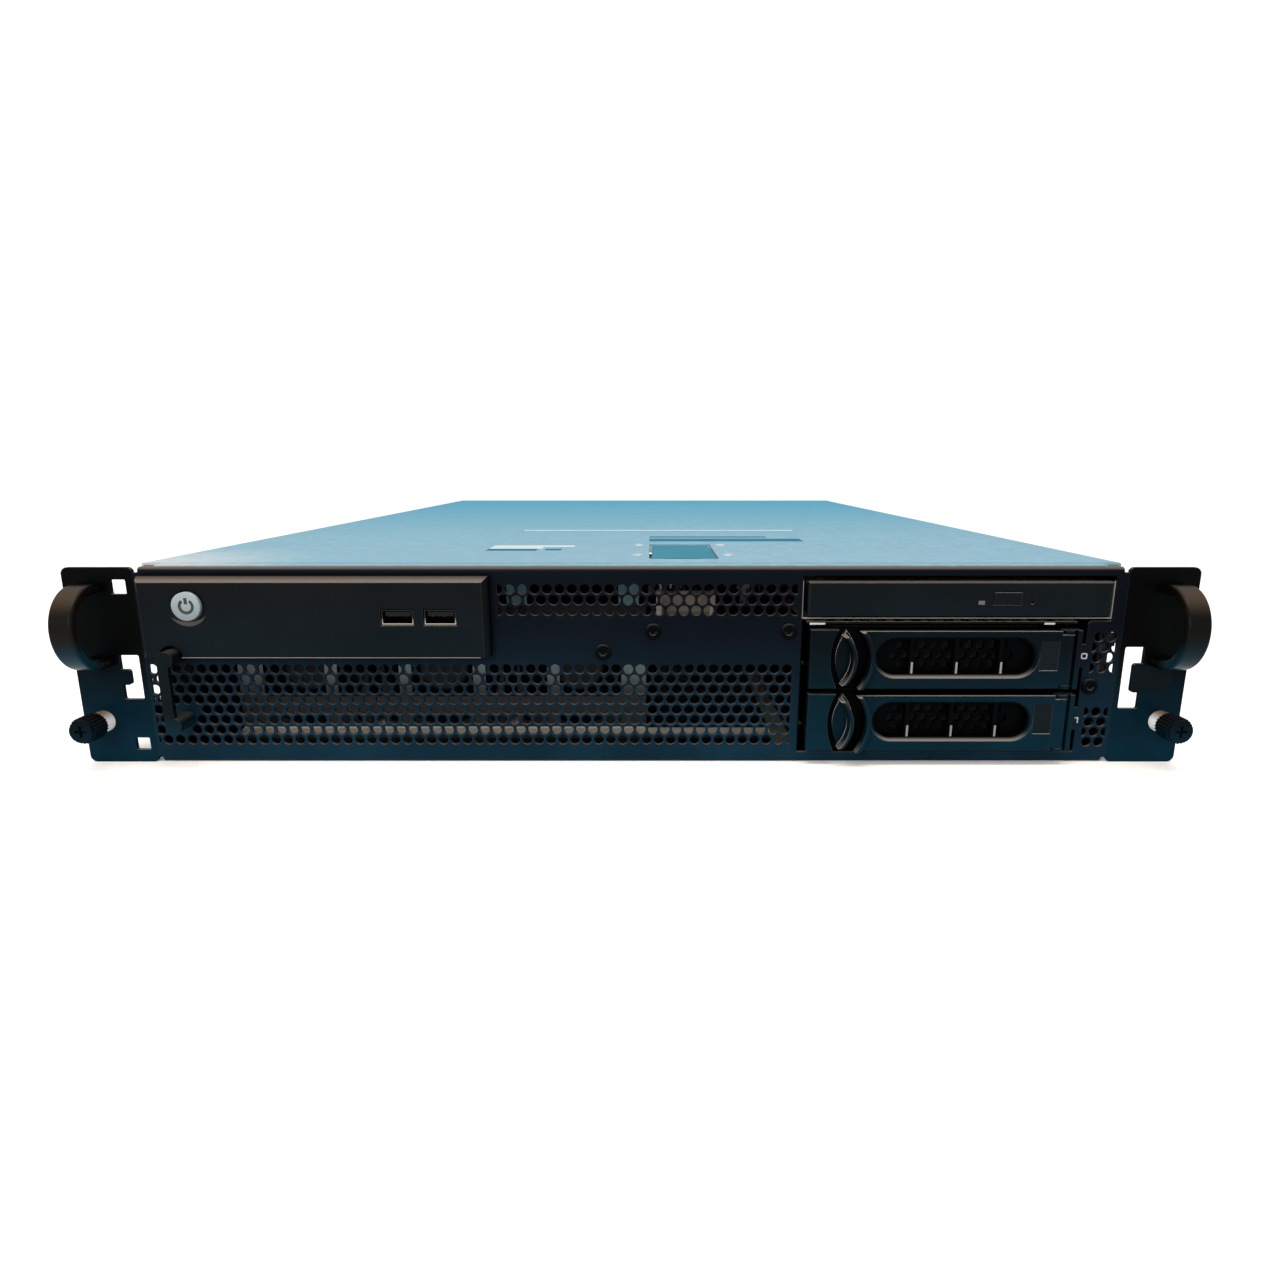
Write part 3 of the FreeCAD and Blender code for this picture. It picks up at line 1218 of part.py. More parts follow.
def pill_path(left, right, low, high):
    """A window with two straight sides and two round ends."""
    radius = (high - low) / 2
    middle = (low + high) / 2
    return Path([[(left + radius, low), (right - radius, low)],
                 [(right - radius, low), (right, middle), (right - radius, high)],
                 [(right - radius, high), (left + radius, high)],
                 [(left + radius, high), (left, middle), (left + radius, low)]])


def screen_holes(floor):
    """Six-sided vents in the carrier's front plate, behind the lever's window."""
    left, right, low, high = pill(floor)
    row_pitch = SCREEN_PITCH * math.sqrt(3) / 2
    middle = (low + high) / 2
    holes = []
    for row in (-1, 0, 1):
        x = left + PILL_HEIGHT / 2 + (SCREEN_PITCH / 2 if row else 0)
        while x < right - PILL_HEIGHT / 2:
            holes.append(polygon(x, middle + row * row_pitch, SCREEN_RADIUS, 6, math.pi / 6))
            x += SCREEN_PITCH
    return holes


def hinge_lug(low, high):
    """A round-nosed lug on the front plate that takes one end of the lever's pin."""
    radius = LEVER_THICK / 2
    nose = Path([[(HINGE_X - radius, 0), (HINGE_X - radius, HINGE_Y)],
                 [(HINGE_X - radius, HINGE_Y), (HINGE_X, HINGE_Y - radius), (HINGE_X + radius, HINGE_Y)],
                 [(HINGE_X + radius, HINGE_Y), (HINGE_X + radius, 0)],
                 [(HINGE_X + radius, 0), (HINGE_X - radius, 0)]])
    return prism(nose, "xy", low, high, [Disc(HINGE_X, HINGE_Y, HINGE_PIN_RADIUS + PIN_GAP)])


def drive_carrier(floor):
    """Front plate with vents, a cheek beside the release, hinge lugs, and two rails that hold the disk."""
    top = floor + CARRIER_HEIGHT
    plate = prism(rect(CARRIER_LEFT, CARRIER_RIGHT, floor, top), "xz", 0, CARRIER_PLATE, screen_holes(floor))
    edge_x = CARRIER_LEFT + CHEEK_EDGE
    arc = [(edge_x, floor), (edge_x - CHEEK_SAG, (floor + top) / 2), (edge_x, top)]
    cheek_path = Path([[(CARRIER_LEFT, floor), (edge_x, floor)], arc, [(edge_x, top), (CARRIER_LEFT, top)],
                       [(CARRIER_LEFT, top), (CARRIER_LEFT, floor)]])
    cheek = prism(cheek_path, "xz", -CHEEK_REACH, 0)
    end = block(HINGE_X + LEVER_THICK / 2 + RUN_GAP, CARRIER_RIGHT, -LEVER_GAP - LEVER_THICK, 0, floor, top)
    lugs = [hinge_lug(floor, floor + LUG_HEIGHT), hinge_lug(top - LUG_HEIGHT, top)]
    middle = (CARRIER_LEFT + CARRIER_RIGHT) / 2
    low, high = floor + RAIL_LOW, floor + RAIL_LOW + RAIL_HEIGHT
    rail_end = DISK_START + DISK_LENGTH
    disk_left, disk_right = middle - DISK_WIDTH / 2, middle + DISK_WIDTH / 2
    rails = [block(CARRIER_LEFT + RUN_GAP, disk_left, CARRIER_PLATE, rail_end, low, high),
             block(disk_right, CARRIER_RIGHT - RUN_GAP, CARRIER_PLATE, rail_end, low, high)]
    return [join([plate, cheek, end] + lugs + rails)]


def carrier_lever(floor):
    """Swinging front of a carrier: a ribbed window, a finger blade at the left and a hinge at the right."""
    low, high = floor + LEVER_FLOOR, floor + CARRIER_HEIGHT - LEVER_FLOOR
    back, front = -LEVER_GAP, -LEVER_GAP - LEVER_THICK
    tip = CARRIER_LEFT + LEVER_EDGE
    neck_x = HINGE_X - LEVER_THICK / 2 - LUG_CLEAR
    arc = blade_arc(tip, low, high, BLADE_SAG)
    body_path = Path([arc, [(tip, high), (neck_x, high)], [(neck_x, high), (neck_x, low)],
                      [(neck_x, low), (tip, low)]])
    left, right, pill_low, pill_high = pill(floor)
    body = prism(body_path, "xz", front, back, [pill_path(left, right, pill_low, pill_high)])
    body = body.makeChamfer(PILL_CHAMFER, pill_front_edges(body, front, left, right, pill_low, pill_high))
    blade = finger_blade(tip + BLADE_THICK, low, high, front)
    lug_room = LUG_HEIGHT + RUN_GAP
    neck = block(neck_x, HINGE_X, front, back, floor + lug_room, floor + CARRIER_HEIGHT - lug_room)
    barrel = rod("xy", HINGE_X, HINGE_Y, LEVER_THICK / 2, floor + lug_room, floor + CARRIER_HEIGHT - lug_room)
    pin = rod("xy", HINGE_X, HINGE_Y, HINGE_PIN_RADIUS, low, high)
    centre = (left + right) / 2
    ribs = []
    for i in range(RIB_COUNT):
        x = centre + (i - (RIB_COUNT - 1) / 2) * RIB_PITCH
        ribs.append(block(x - RIB_WIDTH / 2, x + RIB_WIDTH / 2, front + RIB_SETBACK, back, pill_low,
                          pill_high))
    lever = join([body, blade, neck, barrel, pin] + ribs)
    label_left = CARRIER_RIGHT - LABEL_INSET
    label = block(label_left, neck_x - LUG_CLEAR, front - OVERCUT, front + LABEL_DEPTH, floor + LABEL_LOW,
                  floor + LABEL_LOW + LABEL_HEIGHT)
    return [lever.cut(label)]


def pill_front_edges(body, front, left, right, low, high):
    """The window's edges on the lever's front face."""
    slack = 1e-3
    return edges_where(body, lambda p: near(p.y, front) and left - slack < p.x < right + slack
                       and low - slack < p.z < high + slack)


def carrier_release(floor):
    """Sliding catch with a curved finger blade, pinched against the lever's own blade."""
    low, high = floor + 2 * LEVER_FLOOR, floor + CARRIER_HEIGHT - 2 * LEVER_FLOOR
    tip = CARRIER_LEFT + RELEASE_EDGE
    right_arc = blade_arc(tip, low, high, BLADE_SAG)
    left_arc = blade_arc(tip, low, high, -BLADE_SAG)
    lens = Path([right_arc, left_arc[::-1]])
    body = prism(lens, "xz", -RUN_GAP - RELEASE_THICK, -RUN_GAP)
    fin = finger_blade(tip - FIN_SETBACK, low + FIN_MARGIN, high - FIN_MARGIN, -RUN_GAP - RELEASE_THICK)
    return [join([body, fin])]


def hard_disk(floor):
    """Cast disk body with its stepped lid and the connector's recess at the back."""
    middle = (CARRIER_LEFT + CARRIER_RIGHT) / 2
    left, right = middle - DISK_WIDTH / 2, middle + DISK_WIDTH / 2
    low, high = floor + DISK_MARGIN, floor + DISK_MARGIN + DISK_HEIGHT
    end = DISK_START + DISK_LENGTH
    base = block(left, right, DISK_START, end, low, high - DISK_LID)
    lid = rect(left + DISK_STEP, right - DISK_STEP, DISK_START + DISK_STEP, end - DISK_STEP, DISK_CORNER)
    cap = prism(lid, "xy", high - DISK_LID, high)
    reach = CONNECTOR_WIDTH / 2 + CONNECTOR_CLEAR
    recess = block(middle - reach, middle + reach, end - CONNECTOR_SEAT - CONNECTOR_CLEAR, end + OVERCUT,
                   low - OVERCUT, low + CONNECTOR_HEIGHT + CONNECTOR_CLEAR)
    return [join([base, cap]).cut(recess)]


def drive_backplane():
    """Board across the back of the bay, with a connector for each disk and headers for the data leads."""
    middle = (CARRIER_LEFT + CARRIER_RIGHT) / 2
    back = CAGE_DEPTH + BACKPLANE_SHEET
    board = block(CAGE_LEFT, CAGE_RIGHT, CAGE_DEPTH, back, CHASSIS_SHEET, CAGE_ROOF + BRACKET_SHEET)
    pieces = [board]
    plug_start = DISK_START + DISK_LENGTH - CONNECTOR_SEAT
    for floor in CARRIER_FLOORS:
        low = floor + DISK_MARGIN + RUN_GAP
        pieces.append(block(middle - CONNECTOR_WIDTH / 2, middle + CONNECTOR_WIDTH / 2, plug_start, CAGE_DEPTH,
                            low, low + CONNECTOR_HEIGHT))
    side = DATA_WIDTH / 2 + HEADER_SIDE
    for x, z in data_starts():
        pieces.append(block(x - side, x + side, back, back + HEADER_DEPTH, z - HEADER_HEIGHT / 2,
                            z + HEADER_HEIGHT / 2))
    return [join(pieces)]


# Top cover

def cover_hook(start):
    """A right-hand hook under the cover, whose foot runs below the case's rim."""
    side = RIM_SIDE - RIM_LIP - RUN_GAP
    foot_top = RIM_TOP - CHASSIS_SHEET - RUN_GAP
    leg = block(side - HOOK_SHEET, side, start, start + HOOK_WIDTH, foot_top - HOOK_SHEET, PANEL_HEIGHT)
    foot = block(side, side + HOOK_FOOT, start, start + HOOK_WIDTH, foot_top - HOOK_SHEET, foot_top)
    return [leg, foot]


def rivet_places():
    """X and Y of the rivets that hold the latch pocket."""
    sides = (LATCH_LEFT - RIVET_INSET, LATCH_RIGHT + RIVET_INSET)
    return [(x, LATCH_START + y) for x in sides for y in RIVET_ENDS]


def latch_outline(grow, radius):
    """The latch's opening in plan, grown on every side."""
    return rect(LATCH_LEFT - grow, LATCH_RIGHT + grow, LATCH_START - grow, LATCH_END + grow, radius)


def top_cover():
    """Plain lid with side skirts, hooks, notched front corners and the latch's opening."""
    end = REAR_INSIDE - RUN_GAP
    corner_y = COVER_START + COVER_STEP_DEPTH
    outline = [(-HALF, corner_y), (-HALF + COVER_CORNER, corner_y), (-HALF + COVER_CORNER, COVER_START),
               (HALF - COVER_CORNER, COVER_START), (HALF - COVER_CORNER, corner_y), (HALF, corner_y),
               (HALF, end), (-HALF, end)]
    holes = [latch_outline(0, POCKET_CORNER)]
    holes += [Disc(x, y, RIVET_RADIUS) for x, y in rivet_places()]
    lid = prism(outline, "xy", PANEL_HEIGHT, COVER_TOP, holes)
    skirt = block(HALF - COVER_SHEET, HALF, corner_y, end, SKIRT_LOW, PANEL_HEIGHT)
    pieces = [lid, skirt, mirror(skirt)]
    for start in hook_starts():
        hook = cover_hook(start)
        pieces += hook + [mirror(item) for item in hook]
    cover = join(pieces)
    bends = edges_where(cover, lambda p: near(abs(p.x), HALF) and near(p.z, COVER_TOP))
    cover = cover.makeFillet(COVER_SHEET * COVER_BEND_SHARE, bends)
    step = block(-HALF + COVER_CORNER, HALF - COVER_CORNER, 0, corner_y, COVER_TOP - COVER_STEP,
                 COVER_TOP + OVERCUT)
    return [cover.cut(step)]


def cover_latch_pocket():
    """Pressed dish under the cover that the latch lies in, with ears that carry its pin."""
    floor = PANEL_HEIGHT - POCKET_DEPTH
    wall = BRACKET_SHEET
    brim = rect(LATCH_LEFT - POCKET_FLANGE, LATCH_RIGHT + POCKET_FLANGE, LATCH_START - wall, LATCH_END + wall,
                POCKET_FLANGE_CORNER)
    mouth = latch_outline(0, POCKET_CORNER)
    rivet_holes = [Disc(x, y, RIVET_RADIUS) for x, y in rivet_places()]
    flange = prism(brim, "xy", PANEL_HEIGHT - wall, PANEL_HEIGHT, [mouth] + rivet_holes)
    outer = prism(latch_outline(wall, POCKET_CORNER + wall), "xy", floor - wall, PANEL_HEIGHT - wall)
    inner = prism(mouth, "xy", floor, PANEL_HEIGHT)
    dish = join([flange, outer.cut(inner)])
    bore = rod("yz", LATCH_PIVOT_Y, LATCH_PIVOT_Z, LATCH_PIN_RADIUS, LATCH_LEFT - 2 * wall,
               LATCH_RIGHT + 2 * wall)
    return [dish.cut(bore)]


def cover_latch_lever():
    """Lever that draws the cover back: a plate with a finger notch in front and a barrel behind."""
    left, right = LATCH_LEFT + LATCH_GAP, LATCH_RIGHT - LATCH_GAP
    front = LATCH_START + LATCH_GAP
    top = COVER_TOP - SEAM
    notch_left, notch_right = left + LATCH_NOTCH_MARGIN, right - LATCH_NOTCH_MARGIN
    notch = [(notch_left, front), (LATCH_X, front + LATCH_NOTCH_SAG), (notch_right, front)]
    outline = Path([[(left, front), (notch_left, front)], notch, [(notch_right, front), (right, front)],
                    [(right, front), (right, LATCH_PIVOT_Y)], [(right, LATCH_PIVOT_Y), (left, LATCH_PIVOT_Y)],
                    [(left, LATCH_PIVOT_Y), (left, front)]])
    under = top - LATCH_THICK
    plate = prism(outline, "xy", under, top)
    barrel = rod("yz", LATCH_PIVOT_Y, LATCH_PIVOT_Z, LATCH_BARREL_RADIUS, left, right)
    web = block(left, right, LATCH_PIVOT_Y - LATCH_BARREL_RADIUS, LATCH_PIVOT_Y, LATCH_PIVOT_Z, under)
    stiffener = block(LATCH_X - STIFFENER_HALF, LATCH_X + STIFFENER_HALF, front + STIFFENER_START,
                      LATCH_PIVOT_Y - STIFFENER_END, under - STIFFENER_HEIGHT, under)
    bore = rod("yz", LATCH_PIVOT_Y, LATCH_PIVOT_Z, LATCH_PIN_RADIUS + PIN_GAP, left - OVERCUT, right + OVERCUT)
    return [join([plate, barrel, web, stiffener]).cut(bore)]


def cover_latch_pin():
    """Hinge pin of the latch, held in the pocket's walls."""
    return [rod("yz", LATCH_PIVOT_Y, LATCH_PIVOT_Z, LATCH_PIN_RADIUS, LATCH_LEFT - BRACKET_SHEET,
                LATCH_RIGHT + BRACKET_SHEET)]


def cover_rivets():
    """Low rivets around the latch."""
    rivets = []
    for x, y in rivet_places():
        shank = rod("xy", x, y, RIVET_RADIUS, PANEL_HEIGHT - BRACKET_SHEET, COVER_TOP)
        head = Part.makeCone(RIVET_HEAD_RADIUS, RIVET_RADIUS, RIVET_HEAD, V(x, y, COVER_TOP))
        rivets.append(join([shank, head]))
    return rivets


# Fans and air guide

def fan_centres():
    """X of each case fan."""
    return [FAN_LEFT + (i + 0.5) * FAN_PITCH for i in range(FAN_COUNT)]


def guard_windows():
    """Openings in the fan cage's front: tall windows above a rail and low slots below it."""
    width = (FAN_RIGHT - FAN_LEFT - 2 * GUARD_EDGE - (GUARD_WINDOWS - 1) * GUARD_POST) / GUARD_WINDOWS
    rows = ((GUARD_SILL, GUARD_RAIL[0]), (GUARD_RAIL[1], FAN_SIZE - GUARD_TOP))
    windows = []
    for i in range(GUARD_WINDOWS):
        left = FAN_LEFT + GUARD_EDGE + i * (width + GUARD_POST)
        for low, high in rows:
            windows.append(rect(left, left + width, FAN_FLOOR + low, FAN_FLOOR + high, GUARD_CORNER))
    return windows


def lift_tab(right, low):
    """An upright tab on the guard's upper edge, notched, by which the cage is lifted out."""
    left, high = right - LIFT_TAB_WIDTH, low + LIFT_TAB_RISE
    tab = prism(rect(left, right, low, high), "xz", FAN_START, FAN_FRONT)
    return tab.cut(rod("xz", (left + right) / 2, high, LIFT_TAB_NOTCH, FAN_START, FAN_FRONT))


def fan_plug(top):
    """The fans' plug: a keyed shell with latches, on a shelf that the end plate carries."""
    left, back = FAN_RIGHT + PLUG_START, FAN_START + PLUG_DEPTH
    right = left + PLUG_WIDTH
    shelf = block(FAN_RIGHT, right, FAN_START, back, top - BRACKET_SHEET, top)
    shell = block(left, right, FAN_START, back, top, top + PLUG_HEIGHT)
    hollow = block(left + PLUG_WALL, right - PLUG_WALL, FAN_START - OVERCUT, back - PLUG_WALL, top + PLUG_WALL,
                   top + PLUG_HEIGHT - PLUG_WALL)
    middle = (left + right) / 2
    key = block(middle - PLUG_KEY / 2, middle + PLUG_KEY / 2, FAN_START - OVERCUT, back - PLUG_WALL,
                top + PLUG_HEIGHT - 2 * PLUG_WALL, top + PLUG_HEIGHT + OVERCUT)
    latch_back, latch_top = FAN_START + PLUG_DEPTH / 2, top + PLUG_HEIGHT + PLUG_LATCH
    latches = [block(x, x + PLUG_LATCH, FAN_START, latch_back, top, latch_top) for x in (left - PLUG_LATCH, right)]
    shelf_end = block(right, right + PLUG_LATCH, FAN_START, back, top - BRACKET_SHEET, top)
    return join([shell.cut([hollow, key]), shelf, shelf_end] + latches)


def fan_cage():
    """Bright sheet cage: a base strip, a windowed front with lifting tabs, end plates and a plug."""
    strip_right = CAGE_LEFT - BRACKET_SHEET - CAGE_FOOT - SEAM
    top = FAN_FLOOR + FAN_SIZE + GUARD_RISE
    base = block(FAN_LEFT, FAN_RIGHT, FAN_START, FAN_BACK, CHASSIS_SHEET, FAN_FLOOR)
    strip = block(FAN_LEFT, strip_right, FAN_START - GUARD_STRIP, FAN_START, CHASSIS_SHEET, FAN_FLOOR)
    guard = prism(rect(FAN_LEFT, FAN_RIGHT, CHASSIS_SHEET, top), "xz", FAN_START, FAN_FRONT, guard_windows())
    ends = [block(x, x + BRACKET_SHEET, FAN_FRONT, FAN_BACK, FAN_FLOOR, top)
            for x in (FAN_LEFT, FAN_RIGHT - BRACKET_SHEET)]
    tabs = [lift_tab(FAN_RIGHT - inset, top) for inset in LIFT_TAB_INSETS]
    return [join([base, strip, guard, fan_plug(top - PLUG_HEIGHT / 2)] + ends + tabs)]


def fan_frame(x, z, front):
    """Square fan housing with its air bore, screw holes, struts and motor seat."""
    half = FAN_SIZE / 2
    back = front + FAN_DEPTH
    inset = half - FAN_SCREW_INSET
    holes = [Disc(x + i * inset, z + k * inset, FAN_SCREW_RADIUS) for i in (-1, 1) for k in (-1, 1)]
    bore = Disc(x, z, half - FAN_WALL)
    outline = rect(x - half, x + half, z - half, z + half, FAN_CORNER)
    body = prism(outline, "xz", front, back, [bore] + holes)
    strut = FAN_STRUT / 2
    reach = half - FAN_WALL / 2
    struts = [block(x - reach, x + reach, back - FAN_STRUT, back, z - strut, z + strut),
              block(x - strut, x + strut, back - FAN_STRUT, back, z - reach, z + reach)]
    motor = rod("xz", x, z, FAN_HUB_RADIUS, back - FAN_MOTOR_DEPTH, back)
    seat = rod("xz", x, z, FAN_SHAFT_RADIUS + PIN_GAP, back - FAN_MOTOR_DEPTH - OVERCUT, back + OVERCUT)
    return join([body, motor] + struts).cut(seat)


def blade_section(x, z, radius, middle, chord, pitch):
    """A blade's cross-section at one radius, turned to its pitch."""
    along = V(0, math.cos(pitch), math.sin(pitch)) * (chord / 2)
    across = V(0, -math.sin(pitch), math.cos(pitch)) * (FAN_BLADE_THICK / 2)
    centre = V(x + radius, middle, z)
    corners = [centre + along + across, centre - along + across, centre - along - across,
               centre + along - across]
    return Part.makePolygon(corners + corners[:1])


def fan_impeller(x, z, front):
    """Hub, shaft and twisted blades that sweep close to the housing's bore."""
    start, end = front + FAN_BLADE_START, front + FAN_DEPTH - FAN_MOTOR_DEPTH - PORT_GAP
    middle = (start + end) / 2
    sweep = FAN_SIZE / 2 - FAN_WALL - FAN_TIP_GAP
    root_radius, tip_radius = FAN_HUB_RADIUS - FAN_BLADE_OVERRUN, sweep + FAN_BLADE_OVERRUN
    root = blade_section(x, z, root_radius, middle, FAN_ROOT_CHORD, math.radians(FAN_ROOT_PITCH))
    tip = blade_section(x, z, tip_radius, middle, FAN_TIP_CHORD, math.radians(FAN_TIP_PITCH))
    blade = Part.makeLoft([root, tip], True, True)
    swept = blade.common(rod("xz", x, z, sweep, front, front + FAN_DEPTH))
    blades = [swept.rotated(V(x, 0, z), V(0, 1, 0), 360.0 * i / FAN_BLADES) for i in range(FAN_BLADES)]
    hub = rod("xz", x, z, FAN_HUB_RADIUS, start, end)
    hub = hub.makeFillet(FAN_HUB_ROUND, edges_where(hub, lambda p: near(p.y, start)))
    shaft = rod("xz", x, z, FAN_SHAFT_RADIUS, end, front + FAN_DEPTH - FAN_SHAFT_SETBACK)
    return hub.fuse([shaft] + blades)


def fan_height():
    """Z of the case fans' axes."""
    return FAN_FLOOR + FAN_SIZE / 2


def fan_frames():
    """Housings of the case fans and of the like fan in the power supply."""
    frames = [fan_frame(x, fan_height(), FAN_FRONT) for x in fan_centres()]
    return frames + [fan_frame(PSU_FAN_X, PSU_FAN_Z, PSU_FAN_FRONT)]


def air_shroud():
    """Plastic hood that leads air from the fans to the heat sinks."""
    start, end = FAN_BACK + RUN_GAP, BOARD_FRONT - RUN_GAP
    low = FAN_FLOOR + FAN_SIZE + SHROUD_WALL + RUN_GAP
    rise = start + SHROUD_SLOPE
    outer = [(start, CHASSIS_SHEET), (end, CHASSIS_SHEET), (end, SHROUD_ROOF), (rise, SHROUD_ROOF),
             (start, low)]
    past_start, past_end = start - OVERCUT, end + OVERCUT
    ceiling = SHROUD_ROOF - SHROUD_WALL
    inner = [(past_start, 0), (past_end, 0), (past_end, ceiling), (rise, ceiling), (start, low - SHROUD_WALL),
             (past_start, low - SHROUD_WALL)]
    hood = prism(outer, "yz", FAN_LEFT, FAN_RIGHT)
    return [hood.cut(prism(inner, "yz", FAN_LEFT + SHROUD_WALL, FAN_RIGHT - SHROUD_WALL))]


# Main board

def ribbon_x():
    """X of the control ribbon's middle."""
    return BEZEL_LEFT + RIBBON_CENTRE


def data_starts():
    """X and Z where each data lead leaves the backplane."""
    z = BOARD_TOP + HEADER_HEIGHT
    return [(CAGE_LEFT + DATA_CENTRE * (i + 1), z) for i in range(len(CARRIER_FLOORS))]


def data_ends():
    """X of each data lead's header on the main board."""
    count = len(CARRIER_FLOORS)
    return [BOARD_RIGHT - DATA_END_INSET - DATA_CENTRE * (count - 1 - i) for i in range(count)]


def power_header_y():
    """Y of the middle of the main power header."""
    return BOARD_FRONT + POWER_HEADER_START + POWER_HEADER_LENGTH / 2


def motherboard():
    """Main circuit board with its lead headers and controller chips."""
    board = block(BOARD_LEFT, BOARD_RIGHT, BOARD_FRONT, BOARD_BACK, BOARD_LOW, BOARD_TOP)
    x, y = ribbon_x(), BOARD_FRONT + RIBBON_HEADER_START
    side = RIBBON_WIDTH / 2 + HEADER_SIDE
    pieces = [board, block(x - side, x + side, y, y + HEADER_DEPTH, BOARD_TOP, BOARD_TOP + HEADER_HEIGHT)]
    for x in data_ends():
        pieces.append(block(x - DATA_HEADER_HALF, x + DATA_HEADER_HALF, BOARD_FRONT,
                            BOARD_FRONT + HEADER_DEPTH, BOARD_TOP, BOARD_TOP + DATA_WIDTH + DATA_HEADER_RISE))
    x, y = BOARD_RIGHT - POWER_HEADER_INSET, power_header_y()
    pieces.append(block(x - POWER_HEADER_WIDTH / 2, x + POWER_HEADER_WIDTH / 2, y - POWER_HEADER_LENGTH / 2,
                        y + POWER_HEADER_LENGTH / 2, BOARD_TOP, BOARD_TOP + POWER_HEADER_HEIGHT))
    for chip_x, chip_y, size in BOARD_CHIPS:
        left, front = BOARD_LEFT + chip_x, BOARD_FRONT + chip_y
        pieces.append(block(left, left + size, front, front + size, BOARD_TOP, BOARD_TOP + CHIP_HEIGHT))
    return [join(pieces)]


def board_standoffs():
    """Six-sided posts that hold the main board off the floor."""
    pitch_x = (BOARD_WIDTH - 2 * STANDOFF_INSET) / (STANDOFF_COLUMNS - 1)
    pitch_y = (BOARD_DEPTH - 2 * STANDOFF_INSET) / (STANDOFF_ROWS - 1)
    posts = []
    for i in range(STANDOFF_COLUMNS):
        for k in range(STANDOFF_ROWS):
            x = BOARD_LEFT + STANDOFF_INSET + i * pitch_x
            y = BOARD_FRONT + STANDOFF_INSET + k * pitch_y
            posts.append(prism(polygon(x, y, STANDOFF_RADIUS, 6), "xy", CHASSIS_SHEET, BOARD_LOW))
    return posts


def processor_centres():
    """X and Y of both processors."""
    return [(BOARD_LEFT + x, BOARD_FRONT + CPU_START) for x in CPU_CENTRES]


def processors():
    """Processor lids in their sockets."""
    pieces = []
    for x, y in processor_centres():
        middle = BOARD_TOP + CPU_SOCKET_HEIGHT
        half = CPU_SOCKET / 2
        socket = block(x - half, x + half, y - half, y + half, BOARD_TOP, middle)
        half = CPU_LID / 2
        lid = block(x - half, x + half, y - half, y + half, middle, middle + CPU_LID_HEIGHT)
        pieces.append(join([socket, lid]))
    return pieces


def fins(left, right, low, high, base, count, thick):
    """Section of a finned sink: a base with a comb of upright fins."""
    pitch = (right - left - thick) / (count - 1)
    points = [(left, low), (right, low)]
    for i in reversed(range(count)):
        fin = left + i * pitch
        points += [(fin + thick, high), (fin, high)]
        if i:
            points += [(fin, low + base), (fin - pitch + thick, low + base)]
    return points


def cpu_heat_sinks():
    """Tall finned sinks, open to the air from the fans."""
    low = BOARD_TOP + CPU_SOCKET_HEIGHT + CPU_LID_HEIGHT
    high = PANEL_HEIGHT - SINK_TOP_GAP
    half = SINK_WIDTH / 2
    return [prism(fins(x - half, x + half, low, high, SINK_BASE, SINK_FINS, SINK_FIN_THICK), "xz",
                  y - SINK_LENGTH / 2, y + SINK_LENGTH / 2) for x, y in processor_centres()]


def memory_places():
    """X of each memory module."""
    return [BOARD_RIGHT - MEMORY_INSET - i * MEMORY_PITCH for i in range(MEMORY_COUNT)]


def memory_sockets():
    """Long slotted sockets with a latch post at each end."""
    start = BOARD_FRONT + MEMORY_START
    end = start + MEMORY_SLOT_LENGTH
    post = (MEMORY_SLOT_LENGTH - MEMORY_LENGTH) / 2
    top = BOARD_TOP + MEMORY_SLOT_HEIGHT
    sockets = []
    for x in memory_places():
        half = MEMORY_SLOT_WIDTH / 2
        body = block(x - half, x + half, start, end, BOARD_TOP, top)
        posts = [block(x - half, x + half, y, y + post - RUN_GAP, top, top + MEMORY_SLOT_HEIGHT)
                 for y in (start, end - post + RUN_GAP)]
        groove = block(x - MEMORY_THICK / 2, x + MEMORY_THICK / 2, start + post, end - post, top - MEMORY_SEAT,
                       top + OVERCUT)
        sockets.append(join([body] + posts).cut(groove))
    return sockets


def memory_modules():
    """Memory boards seated in their sockets."""
    start = BOARD_FRONT + MEMORY_START + (MEMORY_SLOT_LENGTH - MEMORY_LENGTH) / 2
    low = BOARD_TOP + MEMORY_SLOT_HEIGHT - MEMORY_SEAT
    end = start + MEMORY_LENGTH
    return [block(x - MEMORY_THICK / 2, x + MEMORY_THICK / 2, start, end, low, low + MEMORY_HEIGHT)
            for x in memory_places()]


# Rear panel and what looks out of it

def rear_port_places():
    """Kind, X, width and height of each socket at the main board's rear edge."""
    left = BOARD_LEFT + PORT_INSET
    return [(kind, left + offset, width, height) for kind, offset, width, height in REAR_PORTS]


